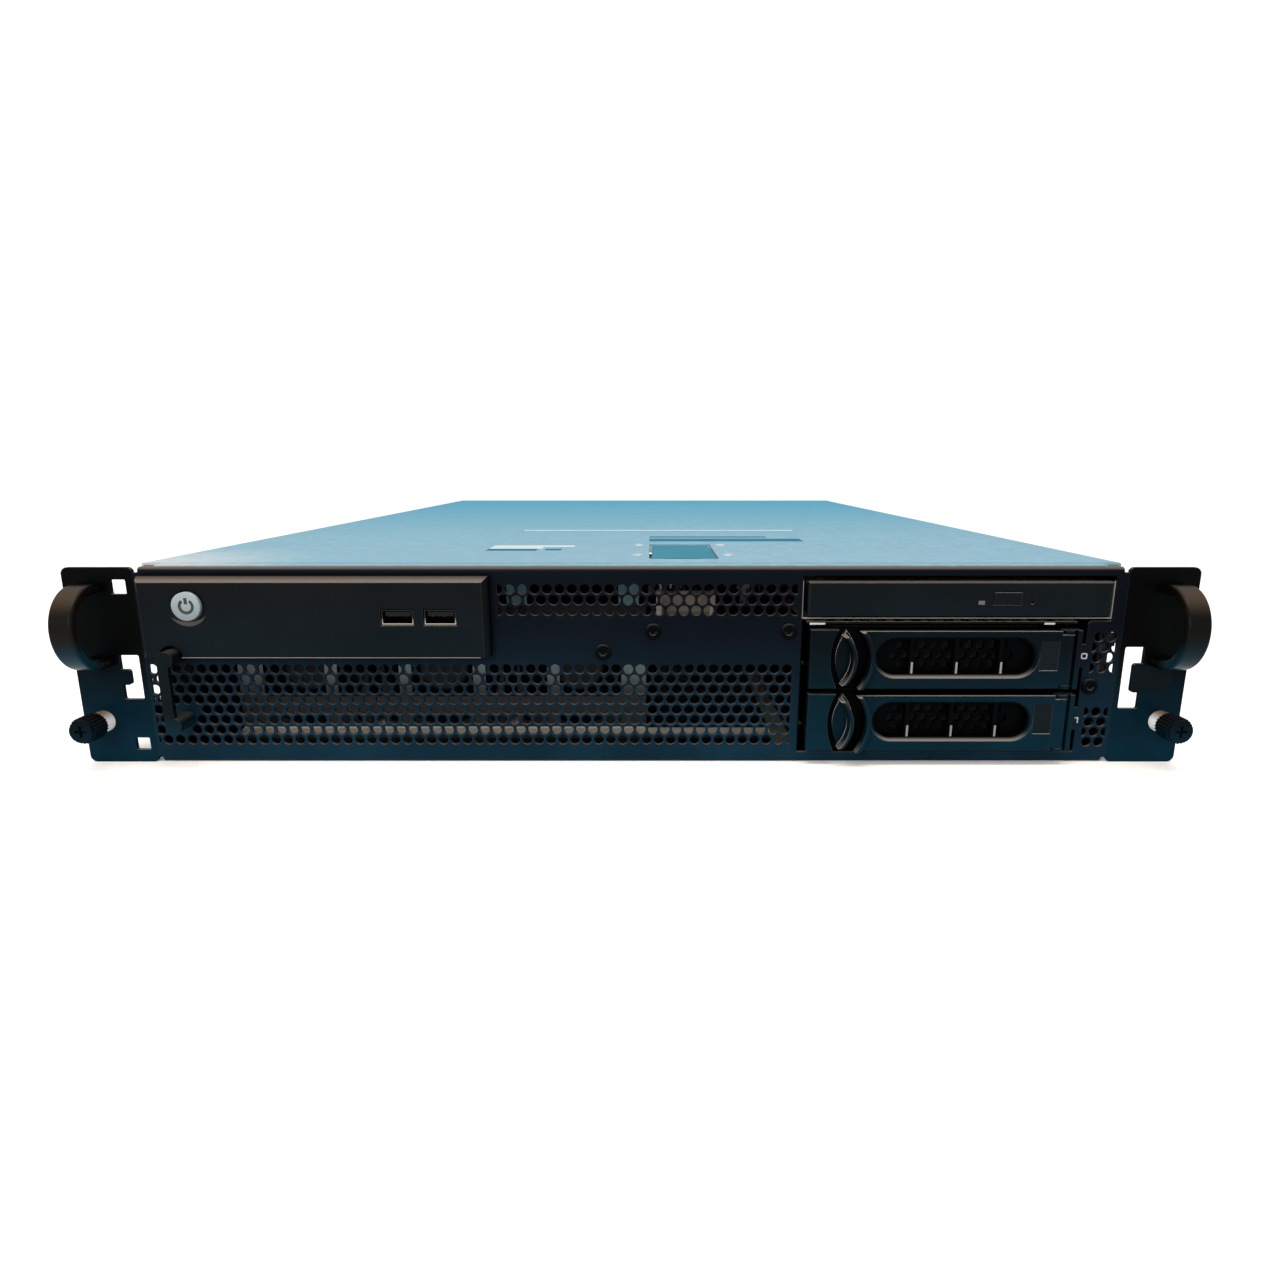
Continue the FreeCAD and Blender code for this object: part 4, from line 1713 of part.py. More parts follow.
def rear_io_sockets():
    """Sockets on the main board's rear edge, hollow where a plug goes in."""
    front, back = DEPTH + PORT_PROUD - PORT_DEPTH, DEPTH + PORT_PROUD
    sockets = []
    for kind, x, width, height in rear_port_places():
        low, high = BOARD_TOP, BOARD_TOP + height
        shell = block(x - width / 2, x + width / 2, front, back, low, high)
        left, right = x - width / 2 + PORT_WALL, x + width / 2 - PORT_WALL
        mouth_front = front + PORT_WALL
        if kind == "network":
            cavity = block(left + NETWORK_SIDE, right - NETWORK_SIDE, mouth_front + NETWORK_BACK,
                           back + OVERCUT, low + PORT_WALL + NETWORK_SILL, high - NETWORK_HEAD)
            sockets.append(shell.cut(cavity))
        elif kind == "usb":
            middle = (low + high) / 2
            storeys = ((low + PORT_WALL, middle - USB_DIVIDER_HALF),
                       (middle + USB_DIVIDER_HALF, high - PORT_WALL))
            cavities = [block(left, right, mouth_front, back + OVERCUT, sill, ceiling)
                        for sill, ceiling in storeys]
            tongues = []
            for _, ceiling in storeys:
                tongue_low = ceiling - USB_TONGUE_DROP
                tongues.append(block(left + USB_TONGUE_SIDE, right - USB_TONGUE_SIDE, mouth_front,
                                     back - TONGUE_SETBACK, tongue_low, tongue_low + SOCKET_TONGUE))
            sockets.append(join([shell.cut(cavities)] + tongues))
        else:
            sill, ceiling = low + SERIAL_RIM, high - SERIAL_RIM
            mouth = [(left + SERIAL_LOW_INSET, sill, SERIAL_CORNER),
                     (right - SERIAL_LOW_INSET, sill, SERIAL_CORNER),
                     (right - SERIAL_HIGH_INSET, ceiling, SERIAL_CORNER),
                     (left + SERIAL_HIGH_INSET, ceiling, SERIAL_CORNER)]
            sockets.append(shell.cut(prism(mouth, "xz", back - SERIAL_DEPTH, back + OVERCUT)))
    return sockets


def slot_lows():
    """Lower edge of each expansion window."""
    return [SLOT_LOW, SLOT_LOW + CARD_PITCH]


def slot_bracket(low):
    """Plate that closes one expansion window from inside."""
    margin = (CARD_PITCH - SLOT_HEIGHT) / 2 - SEAM
    return block(RISER_X - SLOT_WIDTH - SLOT_OVERLAP, RISER_X + SLOT_OVERLAP, REAR_INSIDE - BRACKET_SHEET,
                 REAR_INSIDE, low - margin, low + SLOT_HEIGHT + margin)


def rear_panel():
    """Back wall with cut-outs for sockets, cards and power supply, and two groups of air slots."""
    holes = []
    for _, x, width, height in rear_port_places():
        half = width / 2 + PORT_GAP
        holes.append(rect(x - half, x + half, BOARD_TOP - PORT_GAP, BOARD_TOP + height + PORT_GAP))
    for low in slot_lows():
        holes.append(rect(RISER_X - SLOT_WIDTH, RISER_X, low, low + SLOT_HEIGHT, SLOT_CORNER))
    holes.append(rect(PSU_LEFT - RUN_GAP, PSU_RIGHT + RUN_GAP, CHASSIS_SHEET, PSU_TOP + RUN_GAP))
    vent_lefts = [-INNER + VENT_START + i * VENT_PITCH for i in range(VENT_COUNT_LEFT)]
    vent_lefts += [PSU_LEFT - VENT_START - i * VENT_PITCH for i in range(VENT_COUNT_RIGHT)]
    for x in vent_lefts:
        holes.append(rect(x, x + VENT_WIDTH, VENT_LOW, VENT_LOW + VENT_HEIGHT, VENT_CORNER))
    return [prism(section_path(), "xz", REAR_INSIDE, DEPTH, holes)]


def riser_card():
    """Upright card that turns the expansion sockets on their side."""
    front, back = REAR_INSIDE - RISER_LENGTH, REAR_INSIDE - RISER_REAR_GAP
    top = PANEL_HEIGHT - RISER_TOP_GAP
    card = block(RISER_X, RISER_X + BOARD_SHEET, front, back, BOARD_TOP, top)
    foot = block(RISER_X - RISER_FOOT_SIDE, RISER_X + BOARD_SHEET + RISER_FOOT_SIDE, front, back, BOARD_TOP,
                 BOARD_TOP + RISER_FOOT)
    sockets = []
    for low in slot_lows():
        edge_low = low + CARD_RISE
        sockets.append(block(RISER_X - RISER_SOCKET, RISER_X, front + RISER_SOCKET_END,
                             back - RISER_SOCKET_END, edge_low - RISER_SOCKET_SIDE,
                             edge_low + BOARD_SHEET + RISER_SOCKET_SIDE))
    return [join([card, foot] + sockets)]


def graphics_card():
    """Expansion card lying flat, with its bracket and two video sockets."""
    low = SLOT_LOW + CARD_RISE
    back = REAR_INSIDE - BRACKET_SHEET
    board = block(CARD_LEFT, RISER_X - RISER_SOCKET, back - CARD_LENGTH, back, low, low + BOARD_SHEET)
    pieces = [board, slot_bracket(SLOT_LOW)]
    for inset in CARD_PORTS:
        x = CARD_LEFT + inset
        pieces.append(block(x - CARD_PORT_WIDTH / 2, x + CARD_PORT_WIDTH / 2, back - CARD_PORT_DEPTH,
                            DEPTH + CARD_PORT_REACH, low + BOARD_SHEET, low + BOARD_SHEET + CARD_PORT_HEIGHT))
    return [join(pieces)]


def graphics_cooler():
    """Finned cooler on the expansion card."""
    low = SLOT_LOW + CARD_RISE + BOARD_SHEET
    back = REAR_INSIDE - BRACKET_SHEET - CARD_COOLER_GAP
    right = RISER_X - RISER_SOCKET - COOLER_SIDE
    outline = fins(CARD_LEFT + COOLER_SIDE, right, low, low + CARD_COOLER, COOLER_BASE, COOLER_FINS,
                   COOLER_FIN_THICK)
    return [prism(outline, "xz", back - CARD_COOLER_LENGTH, back)]


def slot_covers():
    """Blank plate over the window that has no card."""
    return [slot_bracket(slot_lows()[1])]


# Power supply

def power_supply_case():
    """Sheet box with a wire-ring fan grille and the inlet's cut-out in its back."""
    outer = block(PSU_LEFT, PSU_RIGHT, PSU_FRONT, DEPTH, CHASSIS_SHEET, PSU_TOP)
    inner = block(PSU_LEFT + PSU_WALL, PSU_RIGHT - PSU_WALL, PSU_FRONT + PSU_WALL, DEPTH - PSU_WALL,
                  CHASSIS_SHEET + PSU_WALL, PSU_TOP - PSU_WALL)
    fan_hole = rod("xz", PSU_FAN_X, PSU_FAN_Z, PSU_FAN_HOLE, DEPTH - 2 * PSU_WALL, DEPTH + OVERCUT)
    x, z = inlet_place()
    half_width, half_height = INLET_WIDTH / 2 + PORT_GAP, INLET_HEIGHT / 2 + PORT_GAP
    inlet_hole = block(x - half_width, x + half_width, DEPTH - 2 * PSU_WALL, DEPTH + OVERCUT, z - half_height,
                       z + half_height)
    case = outer.cut([inner, fan_hole, inlet_hole])
    wires = []
    start = DEPTH - PSU_WALL
    for i in range(PSU_GRILLE_RINGS):
        radius = PSU_FAN_HOLE * (i + 0.5) / PSU_GRILLE_RINGS
        ring = Disc(PSU_FAN_X, PSU_FAN_Z, radius + PSU_GRILLE_WIRE / 2)
        hollow = Disc(PSU_FAN_X, PSU_FAN_Z, radius - PSU_GRILLE_WIRE / 2)
        wires.append(prism(ring, "xz", start, DEPTH, [hollow]))
    reach = PSU_FAN_HOLE + PSU_WALL / 2
    half = PSU_GRILLE_WIRE / 2
    wires.append(block(PSU_FAN_X - reach, PSU_FAN_X + reach, start, DEPTH, PSU_FAN_Z - half, PSU_FAN_Z + half))
    wires.append(block(PSU_FAN_X - half, PSU_FAN_X + half, start, DEPTH, PSU_FAN_Z - reach, PSU_FAN_Z + reach))
    return [join([case] + wires)]


def inlet_place():
    """X and Z of the mains inlet's middle."""
    return PSU_RIGHT - INLET_INSET, INLET_RISE


def power_inlet():
    """Three-pin mains inlet, set upright, with two cut corners and a flange on the case."""
    x, z = inlet_place()
    half_width, half_height = INLET_WIDTH / 2, INLET_HEIGHT / 2
    body = block(x - half_width, x + half_width, DEPTH - INLET_DEPTH, DEPTH, z - half_height, z + half_height)
    reach, rise = half_width + INLET_FLANGE_RIM, half_height + INLET_FLANGE_RIM
    rim = rect(x - reach, x + reach, z - rise, z + rise, INLET_FLANGE_RIM)
    flange = prism(rim, "xz", DEPTH, DEPTH + INLET_FLANGE)
    left, right = x - half_width + INLET_WALL, x + half_width - INLET_WALL
    low, high = z - half_height + INLET_WALL, z + half_height - INLET_WALL
    mouth = [(left, low), (right - INLET_CHAMFER, low), (right, low + INLET_CHAMFER),
             (right, high - INLET_CHAMFER), (right - INLET_CHAMFER, high), (left, high)]
    bottom = DEPTH - INLET_DEPTH + INLET_WALL
    cavity = prism(mouth, "xz", bottom, DEPTH + INLET_FLANGE + OVERCUT)
    pins = []
    for across, up in PIN_PLACES:
        pins.append(block(x + across - PIN_WIDTH / 2, x + across + PIN_WIDTH / 2, bottom, bottom + PIN_LENGTH,
                          z + up - PIN_THICK / 2, z + up + PIN_THICK / 2))
    return [join([join([body, flange]).cut(cavity)] + pins)]


# Leads that the case holds all the way

def control_ribbon():
    """Flat ribbon from the control board over the fans and the shroud to the main board."""
    start = CONTROL_BOARD_BACK + BOARD_SHEET + HEADER_DEPTH
    z = BEZEL_LOW + BEZEL_HEIGHT / 2
    run = SHROUD_ROOF + RUN_GAP
    drop = BOARD_FRONT + RIBBON_HEADER_START + HEADER_DEPTH / 2
    rise = (start + FAN_START) / 2
    path = [(start, z), (rise, z), (rise, run), (drop, run), (drop, BOARD_TOP + HEADER_HEIGHT)]
    x = ribbon_x()
    return [prism(sheet_outline(path, RIBBON_THICK), "yz", x - RIBBON_WIDTH / 2, x + RIBBON_WIDTH / 2)]


def data_leads():
    """Flat data leads from the backplane to the main board."""
    start = CAGE_DEPTH + BACKPLANE_SHEET + HEADER_DEPTH
    third = (BOARD_FRONT - start) / 3
    low = BOARD_TOP + DATA_RISE
    leads = []
    for (x, _), end_x in zip(data_starts(), data_ends()):
        path = [(x, start), (x, start + third), (end_x, BOARD_FRONT - third), (end_x, BOARD_FRONT)]
        leads.append(prism(sheet_outline(path, DATA_THICK), "xy", low, low + DATA_WIDTH))
    return leads


def tube(points, radius):
    """A round lead through corner points, with each corner as an arc as wide as its runs allow."""
    places = [V(*p) for p in points]
    edges = []
    here = places[0]
    for before, place, after in zip(places, places[1:], places[2:]):
        back, ahead = before - place, after - place
        half = back.getAngle(ahead) / 2
        reach = BEND_SHARE * min(back.Length, ahead.Length)
        back, ahead = back.normalize(), ahead.normalize()
        middle = (back + ahead).normalize()
        bend = reach * math.tan(half)
        arc_middle = place + middle * (bend / math.sin(half) - bend)
        edges.append(edge([here, place + back * reach]))
        edges.append(edge([place + back * reach, arc_middle, place + ahead * reach]))
        here = place + ahead * reach
    edges.append(edge([here, places[-1]]))
    path = Part.Wire(edges)
    ring = Part.Wire(Part.makeCircle(radius, places[0], places[1] - places[0]))
    return path.makePipeShell([ring], True, False)


def power_harness():
    """Bundle of supply wires from the power supply to the main board."""
    x, y, z = PSU_LEFT + HARNESS_INSET, power_header_y(), HARNESS_RISE
    end_x = BOARD_RIGHT - POWER_HEADER_INSET
    route = [(x, PSU_FRONT, z), (x, y, z), (end_x, y, z), (end_x, y, BOARD_TOP + POWER_HEADER_HEIGHT)]
    return [tube(route, HARNESS_RADIUS)]


# Every node and the solids in it

def nodes():
    """Solids of each piece by name."""
    made = {
        "chassis_base": chassis_base(), "rear_panel": rear_panel(), "front_panel": front_panel(),
        "left_rack_ear": left_rack_ear(), "right_rack_ear": right_rack_ear(),
        "left_ear_handle": [mirror(ear_handle())], "right_ear_handle": [ear_handle()],
        "left_thumbscrew": [mirror(thumbscrew())], "right_thumbscrew": [thumbscrew()],
        "thumbscrew_collars": thumbscrew_collars(), "front_pull_handle": front_pull_handle(),
        "rail_studs": rail_studs(), "case_screws": case_screws(),
        "control_bezel": control_bezel(), "power_button": power_button(),
        "front_usb_sockets": front_usb_sockets(), "control_board": control_board(),
        "optical_drive_case": optical_case(), "optical_tray": optical_tray(), "optical_bezel": optical_bezel(),
        "eject_button": eject_button(), "disc_hub": disc_hub(),
        "drive_cage": drive_cage(), "drive_backplane": drive_backplane(),
        "top_cover": top_cover(), "cover_latch_pocket": cover_latch_pocket(),
        "cover_latch_lever": cover_latch_lever(), "cover_latch_pin": cover_latch_pin(),
        "cover_rivets": cover_rivets(), "fan_cage": fan_cage(), "fan_frames": fan_frames(),
        "air_shroud": air_shroud(), "motherboard": motherboard(), "board_standoffs": board_standoffs(),
        "processors": processors(), "cpu_heat_sinks": cpu_heat_sinks(), "memory_sockets": memory_sockets(),
        "memory_modules": memory_modules(), "rear_io_sockets": rear_io_sockets(), "riser_card": riser_card(),
        "graphics_card": graphics_card(), "graphics_cooler": graphics_cooler(), "slot_covers": slot_covers(),
        "power_supply_case": power_supply_case(), "power_inlet": power_inlet(),
        "psu_impeller": [fan_impeller(PSU_FAN_X, PSU_FAN_Z, PSU_FAN_FRONT)],
        "control_ribbon": control_ribbon(), "data_leads": data_leads(), "power_harness": power_harness(),
    }
    for i, floor in enumerate(CARRIER_FLOORS):
        made[f"drive_carrier_{i}"] = drive_carrier(floor)
        made[f"hard_disk_{i}"] = hard_disk(floor)
        made[f"carrier_lever_{i}"] = carrier_lever(floor)
        made[f"carrier_release_{i}"] = carrier_release(floor)
    for i, x in enumerate(fan_centres()):
        made[f"fan_impeller_{i + 1}"] = [fan_impeller(x, fan_height(), FAN_FRONT)]
    return made


def main():
    """Write one file per node, with the origin under the middle of the whole."""
    os.makedirs("parts", exist_ok=True)
    for name, solids in nodes().items():
        shape = Part.makeCompound(solids) if len(solids) > 1 else solids[0]
        shape.translate(V(0, -Y_MIDDLE, 0))
        shape.exportStep(f"parts/{name}.step")


main()
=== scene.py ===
# %% [markdown]
# # A two-unit rack computer, dressed for its portrait
#
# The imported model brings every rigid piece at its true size. This lesson gives those pieces their finishes, adds the
# marks and small fittings that are too fine for solids, and sets camera, floor and light.

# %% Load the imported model
import bpy
import math
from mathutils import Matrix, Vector


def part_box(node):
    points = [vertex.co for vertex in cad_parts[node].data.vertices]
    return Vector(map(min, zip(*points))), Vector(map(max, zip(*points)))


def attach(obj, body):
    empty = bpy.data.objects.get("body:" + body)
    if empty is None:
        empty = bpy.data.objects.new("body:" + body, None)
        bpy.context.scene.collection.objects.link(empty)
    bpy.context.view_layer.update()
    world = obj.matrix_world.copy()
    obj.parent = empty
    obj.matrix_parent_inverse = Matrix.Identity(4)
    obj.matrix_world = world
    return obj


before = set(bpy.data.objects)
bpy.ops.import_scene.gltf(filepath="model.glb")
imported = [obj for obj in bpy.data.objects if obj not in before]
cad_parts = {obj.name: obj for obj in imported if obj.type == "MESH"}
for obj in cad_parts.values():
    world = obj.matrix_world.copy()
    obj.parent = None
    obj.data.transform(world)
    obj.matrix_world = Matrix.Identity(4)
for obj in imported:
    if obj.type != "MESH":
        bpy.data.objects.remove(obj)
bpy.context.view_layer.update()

# %% [markdown]
# ## Camera
#
# The photograph looks down at the front by some fourteen degrees, from close by and with a wide lens, so the cover
# runs together towards the back. The camera is placed by measurement: the ears of a rack case are a known width apart,
# which fixes distance, height and lens. A small shift keeps the frame where the photograph has it.

# %% Camera
LOOKING_DOWN = 14.514

lens_data = bpy.data.cameras.new("photo_camera")
lens_data.sensor_width = 36.0
lens_data.lens = 25.092
lens_data.shift_x = -0.0093
lens_data.shift_y = 0.0427
lens_data.clip_start = 0.01
camera = bpy.data.objects.new("photo_camera", lens_data)
camera.location = (0.00883, -0.70706, 0.12873)
camera.rotation_euler = (math.radians(90 - LOOKING_DOWN), 0, 0)
bpy.context.scene.collection.objects.link(camera)
bpy.context.scene.camera = camera
print("camera at", tuple(round(v, 3) for v in camera.location))

# %% [markdown]
# ## Floor and light
#
# The case stands on white, so floor and sky are white and equally bright, and the horizon disappears. A white room
# alone would leave black paint without form. A narrow warm strip overhead draws a line on every edge and bend that
# faces up, and a small box in front sends light through the perforations to the fan cage behind them.

# %% Helpers for meshes, materials and lamps
def plain_mesh(name, verts, faces):
    """A mesh object from points in metres."""
    mesh = bpy.data.meshes.new(name)
    mesh.from_pydata(verts, [], faces)
    thing = bpy.data.objects.new(name, mesh)
    bpy.context.scene.collection.objects.link(thing)
    return thing


def new_finish(name):
    """A new material, its node tree and its shader."""
    material = bpy.data.materials.new(name)
    material.use_nodes = True
    return material, material.node_tree, material.node_tree.nodes["Principled BSDF"]


def softbox(name, place, target, size, power, colour):
    """A rectangular lamp that faces its target."""
    lamp = bpy.data.lights.new(name, "AREA")
    lamp.shape = "RECTANGLE"
    lamp.size, lamp.size_y = size
    lamp.energy = power
    lamp.color = colour
    box = bpy.data.objects.new(name, lamp)
    box.location = place
    box.rotation_euler = (Vector(target) - Vector(place)).to_track_quat("-Z", "Y").to_euler()
    bpy.context.scene.collection.objects.link(box)


print("first helpers ready")

# %% Floor, sky and lamps
REACH = 20

floor = plain_mesh("studio_floor", [(-REACH, -REACH, 0), (REACH, -REACH, 0), (REACH, REACH, 0), (-REACH, REACH, 0)],
                   [(0, 1, 2, 3)])
floor_paint, _, floor_shader = new_finish("studio_floor")
floor_shader.inputs["Base Color"].default_value = (0.96, 0.96, 0.96, 1)
floor_shader.inputs["Roughness"].default_value = 0.9
floor_shader.inputs["Specular IOR Level"].default_value = 0.1
floor.data.materials.append(floor_paint)
world = bpy.data.worlds.new("studio")
world.use_nodes = True
world.node_tree.nodes["Background"].inputs["Color"].default_value = (1.0, 1.0, 1.0, 1)
world.node_tree.nodes["Background"].inputs["Strength"].default_value = 1.06
bpy.context.scene.world = world
bpy.context.scene.view_settings.view_transform = "Standard"
softbox("overhead_strip", place=(0, -0.66, 1.35), target=(0, -0.33, 0.06), size=(1.3, 0.14), power=12,
        colour=(1.0, 0.84, 0.68))
softbox("front_box", place=(-0.35, -1.35, 0.5), target=(0, -0.3, 0.04), size=(0.5, 0.4), power=7,
        colour=(1.0, 0.95, 0.88))
print("floor, sky and two lamps")

# %% [markdown]
# ## Shared surface effects
#
# Several finishes share an effect: paint has a fine orange peel, zinc has crystals, every real edge is a little round
# so that it catches the light, and the black front turns from warm black at the top to blue-black at the bottom. Each
# effect is one node group with named inputs, built once and used in each material with its own values.

# %% Node helpers
def put(tree, kind, links=None, **settings):
    """Adds a node, sets its fields, and sets or links its inputs."""
    made = tree.nodes.new(kind)
    for key, value in settings.items():
        setattr(made, key, value)
    for key, value in (links or {}).items():
        if isinstance(value, bpy.types.NodeSocket):
            tree.links.new(value, made.inputs[key])
        else:
            made.inputs[key].default_value = value
    return made


def effect_group(name, values, outputs):
    """An empty shader group with float inputs at their usual values, and the outputs named."""
    tree = bpy.data.node_groups.new(name, "ShaderNodeTree")
    for key, value in values.items():
        socket = tree.interface.new_socket(key, in_out="INPUT", socket_type="NodeSocketFloat")
        socket.default_value = value
    for key, kind in outputs.items():
        tree.interface.new_socket(key, in_out="OUTPUT", socket_type=kind)
    return tree, tree.nodes.new("NodeGroupInput"), tree.nodes.new("NodeGroupOutput")


def effect(tree, group, **values):
    """Places a shader group in a material, with its own values."""
    made = put(tree, "ShaderNodeGroup", node_tree=group)
    for key, value in values.items():
        made.inputs[key.replace("_", " ")].default_value = value
    return made


def sums(tree, operation, first, second, clamp=False):
    """One sum of two values, each a number or a socket; returns the socket of the result."""
    return put(tree, "ShaderNodeMath", {0: first, 1: second}, operation=operation, use_clamp=clamp).outputs["Value"]


def ramp(tree, value, start, end, low=0.0, high=1.0, kind="LINEAR"):
    """Turns a value between start and end into one between low and high; returns the socket of the result."""
    return put(tree, "ShaderNodeMapRange", {"Value": value, "From Min": start, "From Max": end, "To Min": low,
                                            "To Max": high}, interpolation_type=kind).outputs["Result"]


VALUE, VECTOR = "NodeSocketFloat", "NodeSocketVector"
print("node helpers ready")

# %% [markdown]
# ### Grain
#
# Moulded plastic, powder coat and sheet all have a skin that is not quite even. An image could hold it, but noise in
# object coordinates needs no unwrapping and has the right size on every piece. A quick noise gives the bump, and a
# slow one lets tone and gloss wander.

# %% Grain: a fine bump and a slow change of tone
grain, grain_in, grain_out = effect_group(
    "fine_grain", {"Scale": 900.0, "Patch Scale": 22.0}, {"Height": VALUE, "Patch": VALUE})
place = put(grain, "ShaderNodeTexCoord")
fine = put(grain, "ShaderNodeTexNoise", {"Vector": place.outputs["Object"], "Scale": grain_in.outputs["Scale"],
                                         "Detail": 2.0, "Roughness": 0.6})
patch = put(grain, "ShaderNodeTexNoise", {"Vector": place.outputs["Object"], "Scale": grain_in.outputs["Patch Scale"],
                                          "Detail": 3.0, "Roughness": 0.55})
grain.links.new(fine.outputs["Fac"], grain_out.inputs["Height"])
grain.links.new(patch.outputs["Fac"], grain_out.inputs["Patch"])
print(grain.name, "with", len(grain.nodes), "nodes")

# %% [markdown]
# ### Crystals
#
# Zinc sets on steel in flat crystals, each with its own tone. A cell texture splits space into just such cells. It
# gives each cell a colour by chance, and one channel of that colour serves as the tone.

# %% Crystals: the spangle of zinc-coated sheet
spangle, spangle_in, spangle_out = effect_group("zinc_spangle", {"Scale": 160.0}, {"Tone": VALUE})
place = put(spangle, "ShaderNodeTexCoord")
crystals = put(spangle, "ShaderNodeTexVoronoi", {"Vector": place.outputs["Object"],
                                                 "Scale": spangle_in.outputs["Scale"]})
tone = put(spangle, "ShaderNodeSeparateColor", {"Color": crystals.outputs["Color"]})
spangle.links.new(tone.outputs[0], spangle_out.inputs["Tone"])
print(spangle.name, "with", len(spangle.nodes), "nodes")

# %% [markdown]
# ### Round edges
#
# No edge of a real case is quite sharp. Rounding the mesh would multiply the faces round every hole, so the Bevel node
# turns the normal near an edge instead. Where the turned normal leaves the flat one there is an edge. That gives a mask
# for painted highlights on edges that do not face down. Its upward part gives a second mask, for painted highlights on
# all that faces the strip overhead.

# %% Round edges: a normal that turns over each sharp edge
edges, edges_in, edges_out = effect_group("round_edges", {"Radius": 0.0004, "Tilt": 0.35},
                                          {"Normal": VECTOR, "Rim": VALUE, "Up": VALUE})
bevel = put(edges, "ShaderNodeBevel", {"Radius": edges_in.outputs["Radius"]}, samples=4)
flat = put(edges, "ShaderNodeNewGeometry")
turned = put(edges, "ShaderNodeVectorMath", {0: bevel.outputs["Normal"], 1: flat.outputs["Normal"]},
             operation="DOT_PRODUCT")
tilt = put(edges, "ShaderNodeSeparateXYZ", {"Vector": bevel.outputs["Normal"]})
rim = ramp(edges, turned.outputs["Value"], 1.0, 0.88)
not_below = ramp(edges, tilt.outputs["Z"], -0.1, 0.5)
upward = ramp(edges, tilt.outputs["Z"], edges_in.outputs["Tilt"], 0.95, kind="SMOOTHSTEP")
edges.links.new(bevel.outputs["Normal"], edges_out.inputs["Normal"])
edges.links.new(sums(edges, "MULTIPLY", rim, not_below), edges_out.inputs["Rim"])
edges.links.new(upward, edges_out.inputs["Up"])
print(edges.name, "with", len(edges.nodes), "nodes")

# %% [markdown]
# ### Place
#
# The same black is lit differently from top to bottom and from front to back. Two ramps over the object coordinates
# tell how high and how deep a point lies, so that a finish can follow; most finishes use them for painted light and
# shade. The drawing counts millimetres from the panel's face, and the model's origin lies under its middle, so a small
# function turns one into the other.

# %% Place: how high and how deep a point lies
MIDDLE = 329.0


def mm(x, y, z):
    """A point of the drawing, in millimetres, in the model's frame, whose middle lies behind the panel."""
    return (x / 1000, (y - MIDDLE) / 1000, z / 1000)


def deep(y):
    """A depth behind the panel's face, in millimetres, as the model's Y."""
    return mm(0, y, 0)[1]


places, places_in, places_out = effect_group(
    "place_in_case", {"Low": 0.0, "High": 0.08, "Near": -0.33, "Far": 0.35}, {"Height": VALUE, "Depth": VALUE})
place = put(places, "ShaderNodeTexCoord")
axes = put(places, "ShaderNodeSeparateXYZ", {"Vector": place.outputs["Object"]})
for axis, start, end, result in (("Z", "Low", "High", "Height"), ("Y", "Near", "Far", "Depth")):
    reach = ramp(places, axes.outputs[axis], places_in.outputs[start], places_in.outputs[end], kind="SMOOTHSTEP")
    places.links.new(reach, places_out.inputs[result])
print(places.name, "with", len(places.nodes), "nodes")

# %% [markdown]
# ## Black finishes
#
# Most of the front is black: powder-coated steel on panel, ears and handles, grained plastic on bezel and drive, and a
# smoother blue-black plastic on the carriers. Each looks warm black above and blue below, and pale and warm wherever it
# turns up to the light. So one recipe paints those tones in: warm above and blue below as a painted reflection, and
# pale and warm where it faces up as a painted highlight. It adds grain and painted highlights on the edges, and keeps
# the mirror share low, because black in a white room is only as black as its gloss.

# %% Colours that mix, and a skin
def blend(tree, factor, first, second):
    """Mixes two colours, each a tone or a socket, and returns the socket of the result."""
    colours = {"A": first, "B": second}
    for key, colour in colours.items():
        if not isinstance(colour, bpy.types.NodeSocket):
            colours[key] = (*colour, 1)
    return put(tree, "ShaderNodeMix", {"Factor": factor, **colours}, data_type="RGBA").outputs["Result"]


def skin_on(tree, shader, wander, height, rough, bump, span=(0.0, 1.0), depth=0.0003, normal=None):
    """Lets the roughness wander between two values, and adds the bump of the grain."""
    tree.links.new(ramp(tree, wander, *span, *rough), shader.inputs["Roughness"])
    peel = put(tree, "ShaderNodeBump", {"Height": height, "Strength": bump, "Distance": depth})
    if normal:
        tree.links.new(normal, peel.inputs["Normal"])
    tree.links.new(peel.outputs["Normal"], shader.inputs["Normal"])


print("colour and skin helpers ready")

# %% One recipe for black
# The edge colour below is a painted highlight and the deep shade is painted shade. The room tint turns reflections
# blue, a painted reflection of a blue room.
EDGE_HIGHLIGHT = (0.42, 0.39, 0.36)
DEEP_SHADE = (0.001, 0.001, 0.001)
SHADED_GLOSS = 0.015
GLOSS_SPREAD = 0.06
ROOM_TINT = (0.45, 0.72, 0.90, 1)


